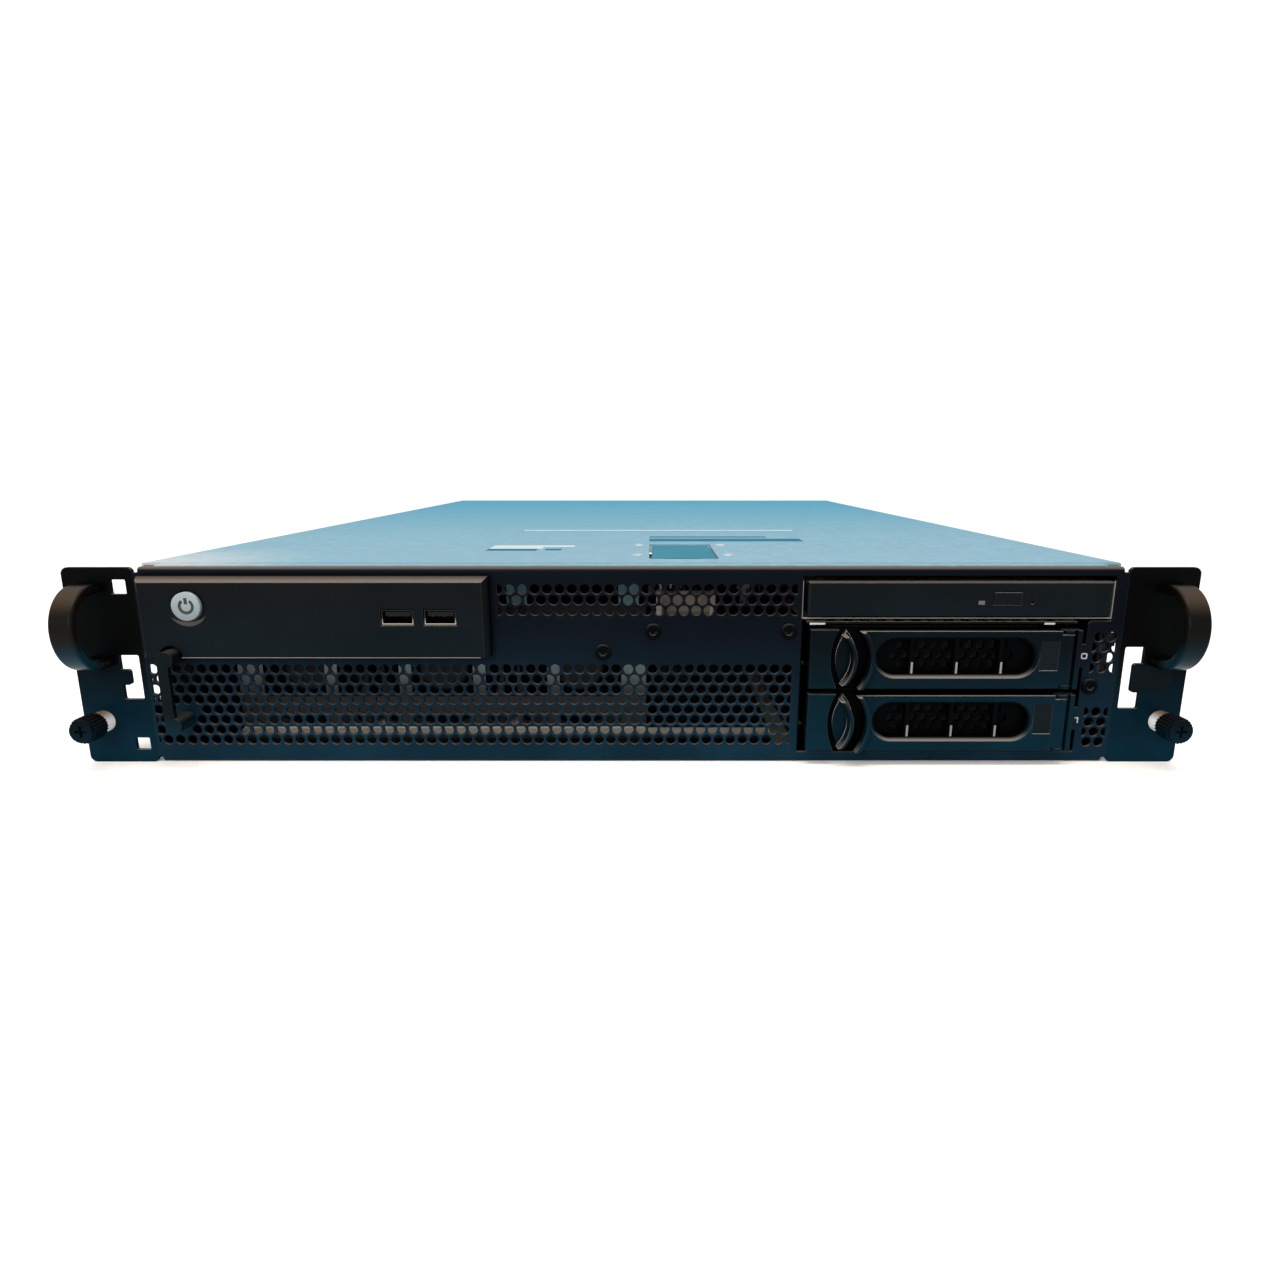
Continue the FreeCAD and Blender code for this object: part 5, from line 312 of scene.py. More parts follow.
def black_finish(name, warm, cool, heights, rough, scale, bump, lit, rim=0.1, gloss=0.07, depths=None, tilt=0.35):
    """A grained black with painted light: two tones by height, highlights where it faces up and on edges, shade by
    depth.
    """
    material, tree, shader = new_finish(name)
    shader.inputs["Specular IOR Level"].default_value = gloss
    shader.inputs["Specular Tint"].default_value = ROOM_TINT
    skin = effect(tree, grain, Scale=scale)
    soft = effect(tree, edges, Tilt=tilt)
    where = effect(tree, places, Low=heights[0], High=heights[1])
    tint = blend(tree, where.outputs["Height"], cool, warm)
    shade = ramp(tree, skin.outputs["Patch"], 0.25, 0.75, low=0.7, high=1.3)
    mottle = put(tree, "ShaderNodeVectorMath", {0: tint, "Scale": shade}, operation="SCALE")
    colour = blend(tree, soft.outputs["Up"], mottle.outputs["Vector"], lit)
    if rim:
        colour = blend(tree, sums(tree, "MULTIPLY", soft.outputs["Rim"], rim), colour, EDGE_HIGHLIGHT)
    if depths:
        where.inputs["Near"].default_value, where.inputs["Far"].default_value = [deep(y) for y in depths]
        colour = blend(tree, where.outputs["Depth"], colour, DEEP_SHADE)
        dull = ramp(tree, where.outputs["Depth"], 0.0, 1.0, low=gloss, high=SHADED_GLOSS)
        tree.links.new(dull, shader.inputs["Specular IOR Level"])
    tree.links.new(colour, shader.inputs["Base Color"])
    skin_on(tree, shader, skin.outputs["Patch"], skin.outputs["Height"], (rough - GLOSS_SPREAD, rough + GLOSS_SPREAD),
            bump, span=(0.3, 0.7), depth=0.0004, normal=soft.outputs["Normal"])
    return material


print("recipe for black ready")

# %% [markdown]
# ### Painted steel
#
# Panel and ears are powder-coated, handles, knobs and screws are smoother. The handles stand out from the ears, so
# they are dark where they meet them and take the light only in front. Heights are in metres above the floor, depths in
# millimetres behind the panel's face, so what stands out from it has a negative depth.

# %% Painted steel
# In these finishes the two tones by height are a painted reflection, warm above and blue below. The colour where a part
# faces up and the lighter edges are painted highlights. The depths of the handles add painted shade where they meet the
# ears.
panel_paint = black_finish("black_panel_coat", warm=(0.0015, 0.0018, 0.0037), cool=(0.0028, 0.0145, 0.0265),
                           heights=(0.0, 0.068), rough=0.40, scale=1100, bump=0.12, lit=(0.085, 0.067, 0.053),
                           rim=0.15, gloss=0.045)
ear_paint = black_finish("black_ear_coat", warm=(0.0010, 0.0010, 0.0007), cool=(0.0013, 0.0138, 0.0255),
                         heights=(0.0, 0.056), rough=0.40, scale=1100, bump=0.12, lit=(0.085, 0.067, 0.053),
                         gloss=0.03)
handle_paint = black_finish("black_handle_paint", warm=(0.0040, 0.0028, 0.0019), cool=(0.0012, 0.021, 0.036),
                            heights=(0.044, 0.062), rough=0.28, scale=900, bump=0.06, lit=(0.044, 0.031, 0.020),
                            rim=0.0, gloss=0.06, depths=(-21.0, -6.0))
pull_paint = black_finish("black_pull_paint", warm=(0.0016, 0.0024, 0.0028), cool=(0.0012, 0.014, 0.023),
                          heights=(0.012, 0.028), rough=0.36, scale=900, bump=0.06, lit=(0.030, 0.028, 0.026),
                          rim=0.08)
knob_paint = black_finish("black_knob_paint", warm=(0.0010, 0.0012, 0.0014), cool=(0.0010, 0.0085, 0.0145),
                          heights=(0.012, 0.028), rough=0.40, scale=900, bump=0.06, lit=(0.009, 0.009, 0.009),
                          rim=0.0, gloss=0.035)
screw_black = black_finish("black_screw_steel", warm=(0.0008, 0.0008, 0.0008), cool=(0.0006, 0.0010, 0.0014),
                           heights=(0.03, 0.07), rough=0.28, scale=900, bump=0.05, lit=(0.024, 0.024, 0.024),
                           rim=0.25, gloss=0.03)
# The drive cage and the drive case are kept dark as painted shade, deep behind the panel. They get painted highlights
# where they face up and on edges.
cage_steel = black_finish("dark_cage_steel", warm=(0.0050, 0.0042, 0.0034), cool=(0.0030, 0.0030, 0.0030),
                          heights=(0.03, 0.06), rough=0.45, scale=900, bump=0.10, lit=(0.22, 0.18, 0.13),
                          rim=0.4, gloss=0.08)
print("painted steel made")

# %% [markdown]
# ### Moulded plastic
#
# Bezel and drive are grained, the carriers are smoother and bluer. Behind their front edges bezel, carriers and levers
# lie in shade, so the tone falls to black within a few millimetres. That makes the lit edges look thin.
# The power button is the one pale moulding, and the same recipe serves it with other tones.

# %% Moulded plastic
# Here too the tones by height are a painted reflection. The colour where a part faces up and the lighter edges are
# painted highlights, strongest on the release blades. The depths add painted shade.
bezel_plastic = black_finish("black_moulded_plastic", warm=(0.0026, 0.0024, 0.0026), cool=(0.0020, 0.0040, 0.0056),
                             heights=(0.048, 0.080), rough=0.42, scale=1500, bump=0.16, lit=(0.135, 0.112, 0.096),
                             rim=0.3, gloss=0.06, depths=(-6.8, -3.5), tilt=0.1)
drive_plastic = black_finish("black_drive_plastic", warm=(0.0030, 0.0030, 0.0032), cool=(0.0024, 0.0038, 0.0050),
                             heights=(0.065, 0.080), rough=0.40, scale=1500, bump=0.14, lit=(0.060, 0.054, 0.050),
                             rim=0.4, gloss=0.06)
carrier_plastic = black_finish("blue_black_plastic", warm=(0.0012, 0.0024, 0.0036), cool=(0.0012, 0.0125, 0.0220),
                               heights=(0.010, 0.058), rough=0.34, scale=1400, bump=0.10, lit=(0.022, 0.026, 0.028),
                               rim=0.2, gloss=0.045, depths=(-2.2, -1.0))
lever_plastic = black_finish("blue_black_lever", warm=(0.0012, 0.0024, 0.0036), cool=(0.0012, 0.0125, 0.0220),
                             heights=(0.010, 0.058), rough=0.30, scale=1400, bump=0.08, lit=(0.200, 0.180, 0.160),
                             rim=0.5, gloss=0.045, depths=(-5.7, -4.5))
release_plastic = black_finish("blue_black_blades", warm=(0.0010, 0.0018, 0.0026), cool=(0.0010, 0.0090, 0.0160),
                               heights=(0.010, 0.058), rough=0.28, scale=1400, bump=0.06, lit=(0.120, 0.110, 0.100),
                               rim=2.2, gloss=0.045)
button_silver = black_finish("button_silver", warm=(0.215, 0.255, 0.268), cool=(0.110, 0.138, 0.148),
                             heights=(0.063, 0.078), rough=0.32, scale=1600, bump=0.05, lit=(0.45, 0.50, 0.52),
                             rim=0.6, gloss=0.15)
print("moulded plastic made")

# %% [markdown]
# ## Other grained finishes
#
# The rest of the pieces are plastic, cast metal, insulated leads and circuit board. They need no change of tone with
# height, so a shorter recipe serves them: two tones that wander into each other, a roughness that wanders with them,
# the bump of the grain, and soft edges with a painted highlight on those that do not face down. Dark insides stay dark
# because their two tones are close to black.

# %% One recipe for two tones
def grained(name, colour, light, rough, scale, bump, edge=0.0003, metal=0.0, gloss=0.3):
    """A grained finish: two tones, uneven roughness, a fine bump, and soft edges with a painted highlight."""
    material, tree, shader = new_finish(name)
    shader.inputs["Metallic"].default_value = metal
    shader.inputs["Specular IOR Level"].default_value = gloss
    skin = effect(tree, grain, Scale=scale)
    soft = effect(tree, edges, Radius=edge)
    tint = blend(tree, skin.outputs["Patch"], colour, light)
    # Edges that do not face down get a lighter tone, a painted highlight.
    highlit_tint = blend(tree, soft.outputs["Rim"], tint, [min(1.0, c * 1.5 + 0.01) for c in light])
    tree.links.new(highlit_tint, shader.inputs["Base Color"])
    skin_on(tree, shader, skin.outputs["Patch"], skin.outputs["Height"], (rough - GLOSS_SPREAD, rough + GLOSS_SPREAD),
            bump, span=(0.3, 0.7), depth=0.0004, normal=soft.outputs["Normal"])
    return material


print("recipe for two tones ready")

# %% Two-tone finishes
BOARD_DARK, BOARD_LIGHT = (0.008, 0.060, 0.032), (0.014, 0.090, 0.048)

inner_plastic = grained("inner_black_plastic", (0.006, 0.006, 0.007), (0.011, 0.011, 0.012), rough=0.5, scale=1200,
                        bump=0.12, gloss=0.2)
lead_black = grained("lead_black", (0.008, 0.008, 0.008), (0.014, 0.014, 0.014), rough=0.55, scale=700, bump=0.2)
lead_red = grained("lead_red", (0.30, 0.02, 0.015), (0.42, 0.04, 0.03), rough=0.5, scale=700, bump=0.1)
lead_grey = grained("lead_grey", (0.36, 0.37, 0.38), (0.46, 0.47, 0.48), rough=0.5, scale=700, bump=0.1)
dark_casting = grained("dark_casting", (0.004, 0.004, 0.005), (0.008, 0.008, 0.009), rough=0.55, scale=900, bump=0.25,
                       gloss=0.1)
fin_metal = grained("fin_aluminium", (0.62, 0.63, 0.65), (0.74, 0.75, 0.77), rough=0.32, scale=1200, bump=0.08,
                    edge=0.0002, metal=1.0)
bright_metal = grained("bright_steel", (0.42, 0.43, 0.44), (0.56, 0.57, 0.58), rough=0.28, scale=1600, bump=0.04,
                       metal=0.95)
latch_blue = grained("latch_blue", (0.035, 0.150, 0.215), (0.055, 0.190, 0.265), rough=0.4, scale=900, bump=0.06,
                     edge=0.0005, gloss=0.0)
pocket_sheet = grained("pocket_sheet", (0.42, 0.52, 0.56), (0.55, 0.64, 0.67), rough=0.4, scale=900, bump=0.05,
                       edge=0.0004, gloss=0.05)
board_green = grained("board_green", BOARD_DARK, BOARD_LIGHT, rough=0.42, scale=400, bump=0.2, edge=0.0002)
print("two-tone finishes made")

# %% [markdown]
# ## Coated sheet
#
# The case is bent from zinc-coated sheet. Its crystals are a few millimetres wide, each with its own tone and gloss,
# which the cell texture gives at once. Walls, rear panel and power supply all take the same sheet.

# %% Zinc
CRYSTAL_SPREAD = 0.07


def coated_sheet(name, pale=(0.70, 0.74, 0.76), dark=(0.40, 0.43, 0.44), rough=0.38, metal=0.9):
    """Coated sheet: crystals a little lighter and darker, each with its own gloss. It is zinc unless told otherwise."""
    material, tree, shader = new_finish(name)
    shader.inputs["Metallic"].default_value = metal
    cells = effect(tree, spangle, Scale=260)
    skin = effect(tree, grain, Patch_Scale=6.0)
    soft = effect(tree, edges)
    both = sums(tree, "MULTIPLY", cells.outputs["Tone"], skin.outputs["Patch"])
    tree.links.new(blend(tree, both, dark, pale), shader.inputs["Base Color"])
    skin_on(tree, shader, cells.outputs["Tone"], skin.outputs["Height"],
            (rough - CRYSTAL_SPREAD, rough + CRYSTAL_SPREAD), bump=0.05, normal=soft.outputs["Normal"])
    return material


def opened(material):
    """The tree, the shader and the colour of a finish that is to be changed."""
    shader = material.node_tree.nodes["Principled BSDF"]
    return material.node_tree, shader, shader.inputs["Base Color"].links[0].from_socket


zinc_sheet = coated_sheet("zinc_sheet")
print(zinc_sheet.name, "made")

# %% [markdown]
# ### Case sheet
#
# The floor and the walls of the case are one bent sheet. Outside it is bright. Inside its front half it lies in deep
# shade, which the white room would fill with light. So a mask finds the floor, the sides that face inwards and the
# edges just behind the panel, and the colour goes dark there.

# %% Case sheet: the same zinc, in shade behind the panel
case_sheet = coated_sheet("case_sheet")
tree, shader, crystal_tint = opened(case_sheet)
soft = effect(tree, edges)
where = effect(tree, places, Low=0.004, High=0.006, Near=deep(279.0), Far=deep(379.0))
on_floor = sums(tree, "SUBTRACT", soft.outputs["Up"], where.outputs["Height"], clamp=True)
facing = put(tree, "ShaderNodeNewGeometry")
spot = put(tree, "ShaderNodeTexCoord")
product = put(tree, "ShaderNodeVectorMath", {0: facing.outputs["Normal"], 1: spot.outputs["Object"]},
              operation="MULTIPLY")
across = put(tree, "ShaderNodeSeparateXYZ", {"Vector": product.outputs["Vector"]})
inward = ramp(tree, across.outputs["X"], 0.0, -0.1)
behind_panel = effect(tree, places, Near=deep(1.7), Far=deep(2.5))
edge_on = sums(tree, "SUBTRACT", 1.0, behind_panel.outputs["Depth"])
any_of = sums(tree, "MAXIMUM", sums(tree, "MAXIMUM", on_floor, inward), edge_on)
in_shade = sums(tree, "SUBTRACT", any_of, where.outputs["Depth"], clamp=True)
tree.links.new(blend(tree, in_shade, crystal_tint, (0.012, 0.016, 0.018)), shader.inputs["Base Color"])
print(case_sheet.name, "made")

# %% [markdown]
# ### Collars
#
# The collar behind each thumbscrew is turned steel. It mirrors the white floor below and the dark ear above. A true
# mirror would pick up noise at this size, so the colour itself goes from white to brown with the height.

# %% Collars: bright below and brown above
collar_metal = grained("collar_steel", (0.90, 0.94, 0.98), (0.97, 0.98, 1.00), rough=0.2, scale=1600, bump=0.04,
                       metal=0.1, gloss=0.8)
tree, shader, steel_tint = opened(collar_metal)
where = effect(tree, places, Low=0.0195, High=0.0240)
tree.links.new(blend(tree, where.outputs["Height"], steel_tint, (0.20, 0.13, 0.08)), shader.inputs["Base Color"])
print(collar_metal.name, "made")

# %% [markdown]
# ### Cover sheet
#
# The top cover is the same sheet, with the blue of the room in it as a painted reflection. The painted reflection is
# paler towards the front, and a painted highlight makes it nearly white at the front left corner. Depth gives the first
# change and the distance from that corner the second. The crystals multiply both, and no gloss is left, so that the
# room adds no second tone.

# %% Cover sheet: the zinc recipe with a tone that follows the depth
cover_sheet = coated_sheet("cover_sheet", (1.12, 1.12, 1.12), (0.93, 0.93, 0.93), rough=0.46, metal=0.0)
tree, shader, crystal_tint = opened(cover_sheet)
shader.inputs["Specular IOR Level"].default_value = 0.0
where = effect(tree, places, Near=deep(19.0), Far=deep(659.0))
# The depth tint is the painted reflection, and the glow is the painted highlight at the front left corner.
depth_tint = blend(tree, where.outputs["Depth"], (0.182, 0.313, 0.398), (0.098, 0.296, 0.426))
spot = put(tree, "ShaderNodeTexCoord")
corner = put(tree, "ShaderNodeVectorMath", {0: spot.outputs["Object"], 1: mm(-215.0, 4.0, 87.0)}, operation="DISTANCE")
glow = ramp(tree, corner.outputs["Value"], 0.085, 0.0, high=0.8, kind="SMOOTHSTEP")
lit_tint = blend(tree, glow, depth_tint, (0.42, 0.46, 0.47))
cover_tint = put(tree, "ShaderNodeVectorMath", {0: lit_tint, 1: crystal_tint}, operation="MULTIPLY")
tree.links.new(cover_tint.outputs["Vector"], shader.inputs["Base Color"])
print(cover_sheet.name, "made")

# %% [markdown]
# ## Sheet behind the perforations
#
# Through the lower grille the fan cage shows in bands: a dark slot under its blue top edge, pale bluish uprights, a dim
# brown rail and a bright strip on the floor. They are one bent sheet that takes its light from different sides, so the
# bands are painted light and shade. A colour ramp over the height holds the bands, a mask finds the pale plug at the
# right, and painted shade keeps the front edges dark.

# %% Fan cage sheet: bands by height
CAGE_HEIGHT = 0.08
# The cage bands are painted light and shade, one colour for each height.
CAGE_BANDS = {0.0023: (0.96, 0.89, 0.77), 0.0028: (0.030, 0.026, 0.022), 0.018: (0.034, 0.030, 0.026),
              0.022: (0.050, 0.062, 0.066), 0.045: (0.52, 0.70, 0.75), 0.052: (0.004, 0.004, 0.004),
              0.0628: (0.004, 0.004, 0.004), 0.0634: (0.15, 0.32, 0.39)}

cage_sheet, tree, shader = new_finish("fan_cage_sheet")
shader.inputs["Specular IOR Level"].default_value = 0.3
skin = effect(tree, grain, Scale=1000.0)
spot = put(tree, "ShaderNodeTexCoord")
axes = put(tree, "ShaderNodeSeparateXYZ", {"Vector": spot.outputs["Object"]})
bands = put(tree, "ShaderNodeValToRGB", {"Fac": ramp(tree, axes.outputs["Z"], 0.0, CAGE_HEIGHT)})
for height, colour in CAGE_BANDS.items():
    stop = bands.color_ramp.elements.new(height / CAGE_HEIGHT)
    stop.color = (*colour, 1)
for spare in (0, -1):
    bands.color_ramp.elements.remove(bands.color_ramp.elements[spare])
print(cage_sheet.name, "with", len(bands.color_ramp.elements), "bands")

# %% Fan cage sheet: the pale plug and the dark front edges
beside = ramp(tree, axes.outputs["X"], 0.0095, 0.0105)
above = ramp(tree, axes.outputs["Z"], 0.054, 0.055)
sheet_tint = blend(tree, sums(tree, "MULTIPLY", beside, above), bands.outputs["Color"], (0.48, 0.44, 0.39))
# Painted shade darkens the sheet in front of this depth.
where = effect(tree, places, Near=deep(35.3), Far=deep(36.5))
tree.links.new(blend(tree, where.outputs["Depth"], (0.012, 0.014, 0.015), sheet_tint), shader.inputs["Base Color"])
skin_on(tree, shader, skin.outputs["Patch"], skin.outputs["Height"], rough=(0.35, 0.55), bump=0.06)
print(cage_sheet.name, "made")

# %% [markdown]
# ## Socket shells
#
# A plug socket is a bright folded shell around a black hollow. Only its front rim catches the light. The shell and its
# tongue are one solid, so the colour goes from bright to black with the depth, just behind the rim: painted shade in
# the hollow. On the front sockets the rim itself is bright only below one height and dark above it, painted light and
# shade.

# %% Shells that are dark inside
def socket_shell(name, tone, near, far, low, high):
    """Painted light and shade: bright at the rim up to one height and dark above it, black behind the rim."""
    material, tree, shader = new_finish(name)
    shader.inputs["Specular IOR Level"].default_value = 0.1
    skin = effect(tree, grain, Scale=1500.0)
    inside = effect(tree, places, Near=near, Far=far, Low=low, High=high)
    face = blend(tree, inside.outputs["Height"], tone, (0.012, 0.014, 0.016))
    tree.links.new(blend(tree, inside.outputs["Depth"], face, (0.002, 0.002, 0.002)), shader.inputs["Base Color"])
    plated = sums(tree, "SUBTRACT", 0.9, inside.outputs["Depth"], clamp=True)
    tree.links.new(plated, shader.inputs["Metallic"])
    skin_on(tree, shader, skin.outputs["Patch"], skin.outputs["Height"], rough=(0.25, 0.45), bump=0.05)
    return material


front_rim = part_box("front_usb_sockets")[0][1]
rear_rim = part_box("rear_io_sockets")[1][1]
front_shell = socket_shell("front_socket_shell", (0.30, 0.27, 0.24), near=front_rim + 0.0001, far=front_rim + 0.0006,
                           low=0.0630, high=0.0665)
rear_shell = socket_shell("rear_socket_shell", (0.55, 0.56, 0.57), near=rear_rim - 0.0002, far=rear_rim - 0.0016,
                          low=0.1, high=0.2)
print("socket rims at", round(front_rim, 4), round(rear_rim, 4))

# %% [markdown]
# ## Graphics card
#
# The card is one solid: a green board inside, a steel bracket at the back, and two sockets whose mouths are black
# plastic. It could be cut into three pieces, but depth alone tells them apart, so the board's finish changes colour
# at two depths.

# %% Graphics card: board, bracket and socket mouths
BRACKET = deep(677.6)
SHARP = 0.0002

card_board = grained("card_board", BOARD_DARK, BOARD_LIGHT, rough=0.42, scale=400, bump=0.2, edge=0.0002)
tree, shader, card_tint = opened(card_board)
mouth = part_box("graphics_card")[1][1]
for colour, step in (((0.40, 0.41, 0.42), BRACKET), ((0.006, 0.006, 0.007), mouth - 0.0003)):
    where = effect(tree, places, Near=step, Far=step + SHARP)
    card_tint = blend(tree, where.outputs["Depth"], card_tint, colour)
tree.links.new(card_tint, shader.inputs["Base Color"])
print(card_board.name, "made")

# %% [markdown]
# ## Dress the imported pieces
#
# Each piece of the model needs its finish. The table below says which finish goes to which pieces, and the loop sets it
# on every slot.

# %% Which piece has which finish
PIECES = {
    panel_paint: ["front_panel"],
    ear_paint: ["left_rack_ear", "right_rack_ear"],
    screw_black: ["case_screws"],
    handle_paint: ["left_ear_handle", "right_ear_handle"],
    pull_paint: ["front_pull_handle"],
    knob_paint: ["left_thumbscrew", "right_thumbscrew"],
    bezel_plastic: ["control_bezel"],
    drive_plastic: ["optical_bezel", "eject_button"],
    carrier_plastic: ["drive_carrier_0", "drive_carrier_1"],
    lever_plastic: ["carrier_lever_0", "carrier_lever_1"],
    release_plastic: ["carrier_release_0", "carrier_release_1"],
    inner_plastic: ["optical_tray", "disc_hub", "fan_frames", "air_shroud", "memory_sockets", "power_inlet",
                    "psu_impeller", "fan_impeller_1", "fan_impeller_2", "fan_impeller_3"],
    lead_black: ["power_harness"],
    lead_red: ["data_leads"],
    lead_grey: ["control_ribbon"],
    button_silver: ["power_button"],
    dark_casting: ["hard_disk_0", "hard_disk_1"],
    cage_steel: ["drive_cage", "optical_drive_case"],
    fin_metal: ["cpu_heat_sinks", "graphics_cooler", "processors"],
    bright_metal: ["rail_studs", "cover_latch_pin", "board_standoffs", "cover_rivets"],
    board_green: ["motherboard", "control_board", "drive_backplane", "memory_modules", "riser_card"],
    card_board: ["graphics_card"],
    case_sheet: ["chassis_base"],
    zinc_sheet: ["rear_panel", "slot_covers", "power_supply_case"],
    cage_sheet: ["fan_cage"],
    front_shell: ["front_usb_sockets"],
    rear_shell: ["rear_io_sockets"],
    collar_metal: ["thumbscrew_collars"],
    cover_sheet: ["top_cover"],
    latch_blue: ["cover_latch_lever"],
    pocket_sheet: ["cover_latch_pocket"],
}
dressed = 0
for material, names in PIECES.items():
    for name in names:
        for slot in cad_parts[name].material_slots:
            slot.material = material
        dressed += 1
print(dressed, "nodes dressed of", len(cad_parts))

# %% [markdown]
# ## Printed marks and films
#
# White digits beside the drive bays, the symbol on the power button and the plain films on levers, ear and cover are
# print or foil, a fifth of a millimetre thick at most. They could be painted on with a texture, but a mesh keeps them
# sharp at any distance. Each is a strip between two lines of points, given its thickness straight away, so it is
# closed.

# %% A strip made thick
def strips(name, lines, place, thick, material, body):
    """Closed slabs, each between an outer and an inner line of points; place() maps them to the model."""
    verts, faces = [], []
    for outer, inner, ring in lines:
        start, count = len(verts), len(outer)
        for lift in (0.0, thick):
            verts += [place(*p, lift) for p in outer] + [place(*p, lift) for p in inner]
        for i in range(count if ring else count - 1):
            j = (i + 1) % count
            low = [start + i, start + j, start + count + j, start + count + i]
            top = [v + 2 * count for v in low]
            faces += [low[::-1], top, [low[0], low[1], top[1], top[0]], [low[2], low[3], top[3], top[2]]]
        for i, turn in ((0, 1), (count - 1, -1)) if not ring else ():
            end = [start + i, start + 2 * count + i, start + 3 * count + i, start + count + i]
            faces.append(end[::turn])
    thing = plain_mesh(name, verts, faces)
    thing.data.materials.append(material)
    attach(thing, body)
    print(name, "with", len(faces), "faces on", body)


def plate(left, low, right, high):
    """A rectangle as one strip."""
    return [(right, low), (right, high)], [(left, low), (left, high)], False


def on_front(depth):
    """Maps across and up to the plane at that depth, with the thickness towards the viewer."""
    return lambda x, z, lift: mm(x, depth - lift, z)


print("strip helpers ready")

# %% [markdown]
# ### Digits
#
# Each bay has its number printed on the panel. The nought is a ring between two rounded rectangles and the one is a
# bent bar, so the same strip makes both.

# %% Digits beside the bays
DIGIT_X, NOUGHT_Z, ONE_Z = 195.95, 48.1, 19.3
PRINT_THICK = 0.05
CORNER = 0.55

mark_white = grained("printed_white", (0.30, 0.31, 0.32), (0.38, 0.39, 0.40), rough=0.5, scale=1500, bump=0.05,
                     gloss=0.1)


def squarish(half_width, half_height):
    """Points round a rectangle with generous corners."""
    turns = [math.tau * i / 20 for i in range(20)]
    return [(math.copysign(abs(math.cos(a)) ** CORNER, math.cos(a)) * half_width,
             math.copysign(abs(math.sin(a)) ** CORNER, math.sin(a)) * half_height) for a in turns]


nought = [[(x + DIGIT_X, z + NOUGHT_Z) for x, z in squarish(*half)] for half in ((1.4, 1.35), (0.85, 0.8))]
one = [[(x + DIGIT_X, z + ONE_Z) for x, z in side]
       for side in ([(0.8, -1.3), (0.8, 1.3), (-0.8, 1.3)], [(0.25, -1.3), (0.25, 0.75), (-0.8, 0.75)])]
strips("bay_digits", [(*nought, True), (*one, False)], on_front(depth=0.0), PRINT_THICK, mark_white, "case")

# %% [markdown]
# ### Power symbol
#
# The button is hollow like a spoon, and its symbol is printed into the hollow. A flat ring would float over it, so the
# points follow the same bowl before they get their thickness. The symbol rides on the button and goes in with it.

# %% Symbol on the power button
BUTTON_X, BUTTON_Z = -186.1, 70.9
BUTTON_FACE, BUTTON_FLATNESS = -7.48, 60
RING_START, RING_SWEEP, RING_STEPS = 125, 290, 28

symbol_grey = grained("printed_grey", (0.024, 0.027, 0.028), (0.032, 0.036, 0.037), rough=0.5, scale=1500, bump=0.05,
                      gloss=0.1)


def in_bowl(middle, flatness):
    """Maps round the button's middle to a bowl, given its depth in the middle and twice its radius."""
    return lambda x, z, lift: mm(x + BUTTON_X, middle - (x * x + z * z) / flatness - lift, z + BUTTON_Z)


sweep = [math.radians(RING_START + RING_SWEEP * i / RING_STEPS) for i in range(RING_STEPS + 1)]
ring = [[(r * math.cos(a), r * math.sin(a)) for a in sweep] for r in (3.35, 2.1)]
bar = [[(x, 0.9 + 0.9 * i) for i in range(4)] for x in (0.68, -0.68)]
strips("power_symbol", [(*ring, False), (*bar, False)], in_bowl(BUTTON_FACE, BUTTON_FLATNESS), PRINT_THICK,
       symbol_grey, "power_button")

# %% [markdown]
# ### Lens, plates, painted light on the bay edge, and tag
#
# The drive has a small lamp, each lever a plain plate, the bay's upper edge two bright patches of painted light where
# light falls on it, and the right ear a black tag. All are thin rectangles with a finish of their own. Each rides on
# the body it is glued to, so a plate swings with its lever.

# %% Lens of the drive's lamp, lever plates, painted light on the bay edge and ear tag
BAY_FLOORS = (34.8, 6.6)
LEVER_FRONT = -5.6

film_white = grained("white_film", (0.50, 0.54, 0.55), (0.58, 0.61, 0.62), rough=0.5, scale=600, bump=0.05, gloss=0.0)
lens_grey = grained("lens_grey", (0.05, 0.05, 0.05), (0.09, 0.09, 0.09), rough=0.25, scale=1500, bump=0.03)
film_black = grained("black_film", (0.0012, 0.0030, 0.0045), (0.0020, 0.0045, 0.0062), rough=0.4, scale=1500,
                     bump=0.08, gloss=0.03)
film_grey = grained("grey_film", (0.0030, 0.0056, 0.0074), (0.0042, 0.0072, 0.0092), rough=0.45, scale=1500,
                    bump=0.08, gloss=0.03)
strips("drive_lamp_lens", [plate(147.25, 71.05, 149.95, 72.55)], on_front(depth=-1.4), thick=1.0,
       material=lens_grey, body="tray")
for i, bay_floor in enumerate(BAY_FLOORS):
    strips(f"lever_plate_{i}", [plate(174.7, bay_floor + 8.4, 181.9, bay_floor + 21.0)], on_front(LEVER_FRONT),
           thick=0.2, material=film_grey, body=f"lever_{i}")
# Two bright patches of painted light on the bay's upper edge.
strips("bay_edge_light_patches", [plate(76.7, 61.7, 83.4, 62.5), plate(177.7, 61.7, 182.2, 62.5)], on_front(depth=1.4),
       thick=0.5, material=film_white, body="case")
strips("ear_tag", [plate(217.0, 33.4, 235.0, 43.8)], on_front(depth=0.0), thick=0.15, material=film_black,
       body="case")

# %% [markdown]
# ### Edges that catch the light
#
# The cut edge of the drive opening and the lower edge of the bezel show as thin bright lines where they catch the
# light. The painted edge highlight in a material is softer than that, so thin strips lie on those edges as painted
# highlights. A dark sheet behind the small hole patch is painted shade, which keeps the white room out of its inner
# holes.

# %% Painted highlights on edges, and painted shade behind the holes
BEZEL_FRONT = -7.0

